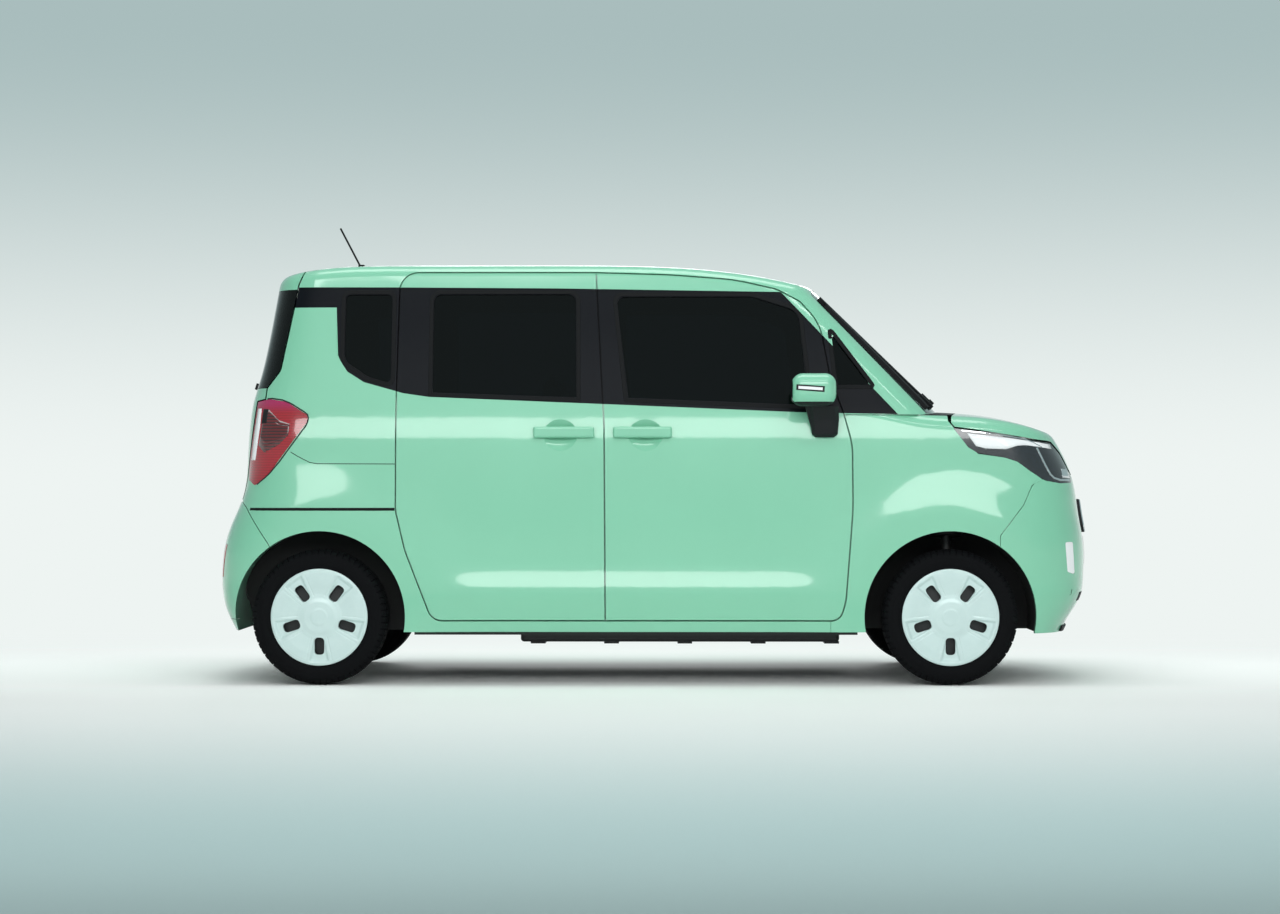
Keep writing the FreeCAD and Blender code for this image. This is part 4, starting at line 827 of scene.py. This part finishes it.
# What carries the car, seen from below and through the arches: dip-painted steel, cast iron hubs and discs,
# a cast aluminium motor housing, a coated battery tray and moulded arch liners.
cast_iron = grained_plastic("cast_iron", "#4A4744", "#5C5853", 0.6, 0.004, 0.4)
cast_aluminium, tree, place = bare_material("sand_cast_aluminium")
sand = add(tree, "TexNoise", {"Vector": (place, "Object"), "Scale": 500.0, "Detail": 2.0})
sand_relief = add(tree, "Bump", {"Height": (sand, "Fac"), "Strength": 0.3, "Distance": 0.0005})
cast_shader = add(tree, "BsdfPrincipled", {
    "Base Color": linear("#A9ACAE"), "Metallic": 1.0, "Roughness": 0.5, "Normal": (sand_relief, "Normal")})
add(tree, "OutputMaterial", {"Surface": (cast_shader, "BSDF")})
liner_plastic = grained_plastic("moulded_arch_liner", "#0B0C0D", "#131415", 0.85, 0.003)
dress(["arch_liners"], liner_plastic)
dress(["front_subframe", "strut_towers", "rear_axle", "floor_pan", "battery_pack"], dip_paint)
STRUT_FOOT = 0.42
dress(["knuckle_right", "knuckle_left"], cast_iron,
      (dip_paint, lambda centre, outward: centre.z > STRUT_FOOT))
dress(["motor_block"], cast_aluminium)

# Cabin: a grained dashboard with its screens and vents, a steering wheel of the same plastic, and padded
# seats in woven cloth on moulded bases.
dress(["dashboard", "steering_wheel"], cabin_trim)
dash_skin = skin_of("dashboard")
sheet("centre_screen", dash_skin, "rear", [(-0.115, 0.860), (0.115, 0.860)],
      [(-0.115, 0.975), (0.115, 0.975)], 0.004, lamp_cover)
sheet("instrument_panel", dash_skin, "rear", [(0.215, 0.935), (0.455, 0.935)],
      [(0.225, 1.015), (0.445, 1.015)], 0.003, lamp_cover)
for i, y in enumerate((-0.585, -0.205, 0.165, 0.585)):
    sheet(f"air_vent_{i}", dash_skin, "rear", [(y - 0.045, 0.895), (y + 0.045, 0.895)],
          [(y - 0.045, 0.955), (y + 0.045, 0.955)], 0.003, black_plastic, columns=6)

seat_cloth, tree, place = bare_material("woven_polyester_seat_cloth")
THREAD = 0.0016
warp, weft = [add(tree, "TexWave", {"Vector": (place, "Object"), "Scale": 0.05 / THREAD, "Distortion": 0.4},
                  bands_direction=way) for way in ("Y", "DIAGONAL")]
weave = add(tree, "Math", {0: (warp, "Fac"), 1: (weft, "Fac")}, operation="MULTIPLY")
cloth_tone = add(tree, "Mix", {"Factor": (weave, "Value"), "A": linear("#4B4D4E"), "B": linear("#7A7C7B")},
                 data_type="RGBA")
cloth_relief = add(tree, "Bump", {"Height": (weave, "Value"), "Strength": 0.5, "Distance": 0.0006})
cloth_shader = add(tree, "BsdfPrincipled", {
    "Base Color": (cloth_tone, "Result"), "Roughness": 0.9, "Sheen Weight": 0.4,
    "Normal": (cloth_relief, "Normal")})
add(tree, "OutputMaterial", {"Surface": (cloth_shader, "BSDF")})

PAD_CROWN = 0.010
SEAM_HALF = 0.008
SEAM_DEPTH = 0.007


def pad(name, low, high, lean_at=None, lean=0.0, channels=(), cuts=14):
    """A crowned pad between two corners, with seams sunk along it, leant back about a pivot."""
    low, high = Vector(low), Vector(high)
    middle, half = (low + high) / 2, (high - low) / 2
    shape = bmesh.new()
    bmesh.ops.create_cube(shape, size=2.0)
    bmesh.ops.subdivide_edges(shape, edges=shape.edges, cuts=cuts, use_grid_fill=True)
    turn = Matrix.Rotation(lean, 3, "Y")
    for vertex in shape.verts:
        u, v, w = vertex.co
        crowned = [(1 - b * b) * (1 - c * c) for b, c in ((v, w), (u, w), (u, v))]
        corner = (abs(u) ** 6 + abs(v) ** 6 + abs(w) ** 6) ** (1 / 6)
        spot = Vector((u, v, w)) / corner
        inset = [h - PAD_CROWN + PAD_CROWN * share for h, share in zip(half, crowned)]
        place = middle + Vector([a * b for a, b in zip(spot, inset)])
        for seam in channels:
            sunk = math.exp(-((place.y - middle.y - seam) / SEAM_HALF) ** 2) * SEAM_DEPTH
            place -= Vector([math.copysign(sunk, a) if abs(a) > 0.8 else 0.0 for a in (u, 0.0, w)])
        if lean_at:
            place = Vector(lean_at) + turn @ (place - Vector(lean_at))
        vertex.co = place
    mesh = bpy.data.meshes.new(name)
    shape.to_mesh(mesh)
    shape.free()
    made = carried(name, mesh, seat_cloth)
    return made


def base_block(name, low, high, taper):
    """A seat's moulded base, narrower at its top."""
    (x0, y0, z0), (x1, y1, z1) = low, high
    corners = [(x, y, z) for z, t in ((z0, 0.0), (z1, taper))
               for x, y in ((x0 + t, y0 + t), (x1 - t, y0 + t), (x1 - t, y1 - t), (x0 + t, y1 - t))]
    faces = [(3, 2, 1, 0), (4, 5, 6, 7)] + [(i, (i + 1) % 4, 4 + (i + 1) % 4, 4 + i) for i in range(4)]
    made = piece(name, corners, faces, black_plastic, smooth=False)
    edges = made.modifiers.new("edges", "BEVEL")
    edges.width = 0.006
    edges.segments = 2


SEAT_LEAN = -math.radians(18)
SEAT_CHANNELS = (-0.120, 0.120)
for side, y in (("right", -0.335), ("left", 0.335)):
    pivot = (-0.190, y, 0.498)
    cushion = pad(f"cushion_{side}", (-0.188, y - 0.244, 0.430), (0.309, y + 0.244, 0.557),
                  channels=SEAT_CHANNELS)
    pad(f"backrest_{side}", (-0.249, y - 0.238, 0.480), (-0.131, y + 0.238, 1.110), pivot, SEAT_LEAN,
        channels=SEAT_CHANNELS)
    pad(f"head_rest_{side}", (-0.234, y - 0.124, 1.131), (-0.146, y + 0.124, 1.279), pivot, SEAT_LEAN, cuts=8)
    base_block(f"seat_base_{side}", (-0.128, y - 0.198, 0.260), (0.300, y + 0.198, 0.436), 0.012)
    if side == "right":
        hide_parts("front_seats")
BENCH_LEAN = -math.radians(20)
BENCH_CHANNELS = (-0.30, 0.0, 0.30)
pivot = (-0.900, 0.0, 0.549)
bench = pad("bench_cushion", (-0.898, -0.569, 0.481), (-0.401, 0.569, 0.608), channels=BENCH_CHANNELS,
            cuts=20)
pad("bench_backrest", (-0.959, -0.563, 0.531), (-0.841, 0.563, 1.080), pivot, BENCH_LEAN,
    channels=BENCH_CHANNELS, cuts=20)
pad("bench_head_rest", (-0.944, -0.124, 1.101), (-0.856, 0.124, 1.249), pivot, BENCH_LEAN, cuts=8)
base_block("bench_base", (-0.838, -0.508, 0.436), (-0.472, 0.508, 0.488), 0.006)
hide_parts("rear_bench")

# Studio: a pale matt floor, greyer towards the camera as painted shade and brighter near the car, as the
# camera sees it, as painted light. It fades into a pale surround far off and behind the car. Long soft
# boxes above and beside it draw one soft line along each shoulder and crease. The surround grows a little
# greyer overhead.
PALE = "#EEF4F2"
GREY = "#A9BDBD"


def sight_rays(tree):
    """The kinds of light ray, and a value that is 1 for those the camera sees, by mirror or glass too."""
    rays = add(tree, "LightPath")
    seen = add(tree, "Math", {0: (rays, "Is Camera Ray"), 1: (rays, "Is Glossy Ray")}, operation="MAXIMUM")
    return rays, add(tree, "Math", {0: (seen, "Value"), 1: (rays, "Is Transmission Ray")},
                     operation="MAXIMUM")


floor_finish, tree, place = bare_material("matt_studio_floor")
mottle = add(tree, "TexNoise", {"Vector": (place, "Object"), "Scale": 1.2, "Detail": 3.0})
near_tone = add(tree, "Mix", {"Factor": (mottle, "Fac"), "A": linear("#F1F5F3"), "B": linear("#F5F8F7")},
                data_type="RGBA")
reach = add(tree, "VectorMath", {0: (place, "Object")}, operation="LENGTH")
spot = add(tree, "SeparateXYZ", {"Vector": (place, "Object")})
# Painted shade: the floor's colour greys towards the camera.
outward = add(tree, "MapRange", {"Value": (spot, "Y"), "From Min": -1.0, "From Max": -6.0},
              interpolation_type="SMOOTHSTEP")
floor_tone_painted_shade = add(tree, "Mix", {
    "Factor": (outward, "Result"), "A": (near_tone, "Result"), "B": linear("#98B0B0")}, data_type="RGBA")
# Painted light: near the car the floor looks up to 1.4 times as bright, to the camera alone.
painted_light_near_car = add(tree, "MapRange", {"Value": (spot, "Y"), "From Min": -1.8, "From Max": 0.8, "To Max": 0.4},
             interpolation_type="SMOOTHSTEP")
rays, in_sight = sight_rays(tree)
lift = add(tree, "Math", {0: (painted_light_near_car, "Result"), 1: (rays, "Is Camera Ray"), 2: 1.0},
           operation="MULTIPLY_ADD")
tone_with_painted_light = add(tree, "VectorMath", {0: (floor_tone_painted_shade, "Result"), "Scale": (lift, "Value")}, operation="SCALE")
floor_shader = add(tree, "BsdfPrincipled", {"Base Color": (tone_with_painted_light, "Vector"), "Roughness": 0.7})
far_floor = add(tree, "Emission", {"Color": linear(PALE), "Strength": 1.0})
far_off = add(tree, "MapRange", {"Value": (reach, "Value"), "From Min": 6.8, "From Max": 11.0},
              interpolation_type="SMOOTHSTEP")
behind = add(tree, "MapRange", {"Value": (spot, "Y"), "From Min": 0.3, "From Max": 2.8},
             interpolation_type="SMOOTHSTEP")
fade = add(tree, "Math", {0: (far_off, "Result"), 1: (behind, "Result")}, operation="MAXIMUM")
faded = add(tree, "Math", {0: (in_sight, "Value"), 1: (fade, "Value")}, operation="MULTIPLY")
floor_mix = add(tree, "MixShader", {
    "Fac": (faded, "Value"), 1: (floor_shader, "BSDF"), 2: (far_floor, "Emission")})
add(tree, "OutputMaterial", {"Surface": (floor_mix, "Shader")})
FLOOR_HALF = 60.0
floor_mesh = bpy.data.meshes.new("studio_floor")
floor_corners = [(x * FLOOR_HALF, y * FLOOR_HALF, 0) for x, y in ((-1, -1), (1, -1), (1, 1), (-1, 1))]
floor_mesh.from_pydata(floor_corners, [], [(0, 1, 2, 3)])
floor_mesh.materials.append(floor_finish)
studio_floor = bpy.data.objects.new("studio_floor", floor_mesh)
bpy.context.collection.objects.link(studio_floor)

world = bpy.data.worlds.new("pale_surround")
bpy.context.scene.world = world
world.use_nodes = True
tree = world.node_tree
tree.nodes.clear()
place = add(tree, "TexCoord")
rise = add(tree, "SeparateXYZ", {"Vector": (place, "Generated")})
overhead = add(tree, "MapRange", {"Value": (rise, "Z"), "From Min": 0.0, "From Max": 0.16},
               interpolation_type="SMOOTHSTEP")
sky_tone = add(tree, "Mix", {"Factor": (overhead, "Result"), "A": linear(PALE), "B": linear(GREY)},
               data_type="RGBA")
in_sight = sight_rays(tree)[1]
soft_light = add(tree, "Background", {"Color": linear("#F6FBFA"), "Strength": 0.46})
backdrop = add(tree, "Background", {"Color": (sky_tone, "Result"), "Strength": 1.0})
surround = add(tree, "MixShader", {
    "Fac": (in_sight, "Value"), 1: (soft_light, "Background"), 2: (backdrop, "Background")})
add(tree, "OutputWorld", {"Surface": (surround, "Shader")})


def lamp(name, place, aim, size, power):
    """A long soft box that points at a spot."""
    light = bpy.data.lights.new(name, "AREA")
    light.shape = "RECTANGLE"
    light.size, light.size_y = size
    light.energy = power
    made = bpy.data.objects.new(name, light)
    made.location = place
    made.rotation_euler = (Vector(aim) - Vector(place)).to_track_quat("-Z", "Y").to_euler()
    bpy.context.collection.objects.link(made)


lamp("overhead_strip", (0, -0.6, 5.5), (0, 0, 0.5), (5.0, 1.6), 90)
lamp("right_strip", (0.3, -6.8, 2.80), (0, 0, 1.0), (7.0, 1.5), 184)
lamp("left_strip", (-0.4, 6.8, 2.80), (0, 0, 1.0), (4.0, 1.5), 90)
lamp("roofline_strip", (0.2, -5.0, 4.80), (0, -0.65, 1.64), (7.0, 0.28), 55)

# Camera: level with the door handles on the right-hand side, turned by 30 and 28 of the photograph's
# pixels, so that the car stands where the photograph has it.
LENS = 80.86
FOCUS_PIXELS = 2875
CAMERA_PLACE = (0.0695, -12.26, 0.800)
YAW = math.atan(30 / FOCUS_PIXELS)
PITCH = math.atan(28 / FOCUS_PIXELS)
camera_data = bpy.data.cameras.new("camera")
camera_data.lens = LENS
camera_data.sensor_width = 36.0
camera = bpy.data.objects.new("camera", camera_data)
camera.matrix_world = (Matrix.Translation(CAMERA_PLACE) @ Matrix.Rotation(YAW, 4, "Z")
                       @ Matrix.Rotation(math.pi / 2 + PITCH, 4, "X"))
bpy.context.collection.objects.link(camera)
bpy.context.scene.camera = camera
bpy.context.scene.view_settings.view_transform = "Standard"
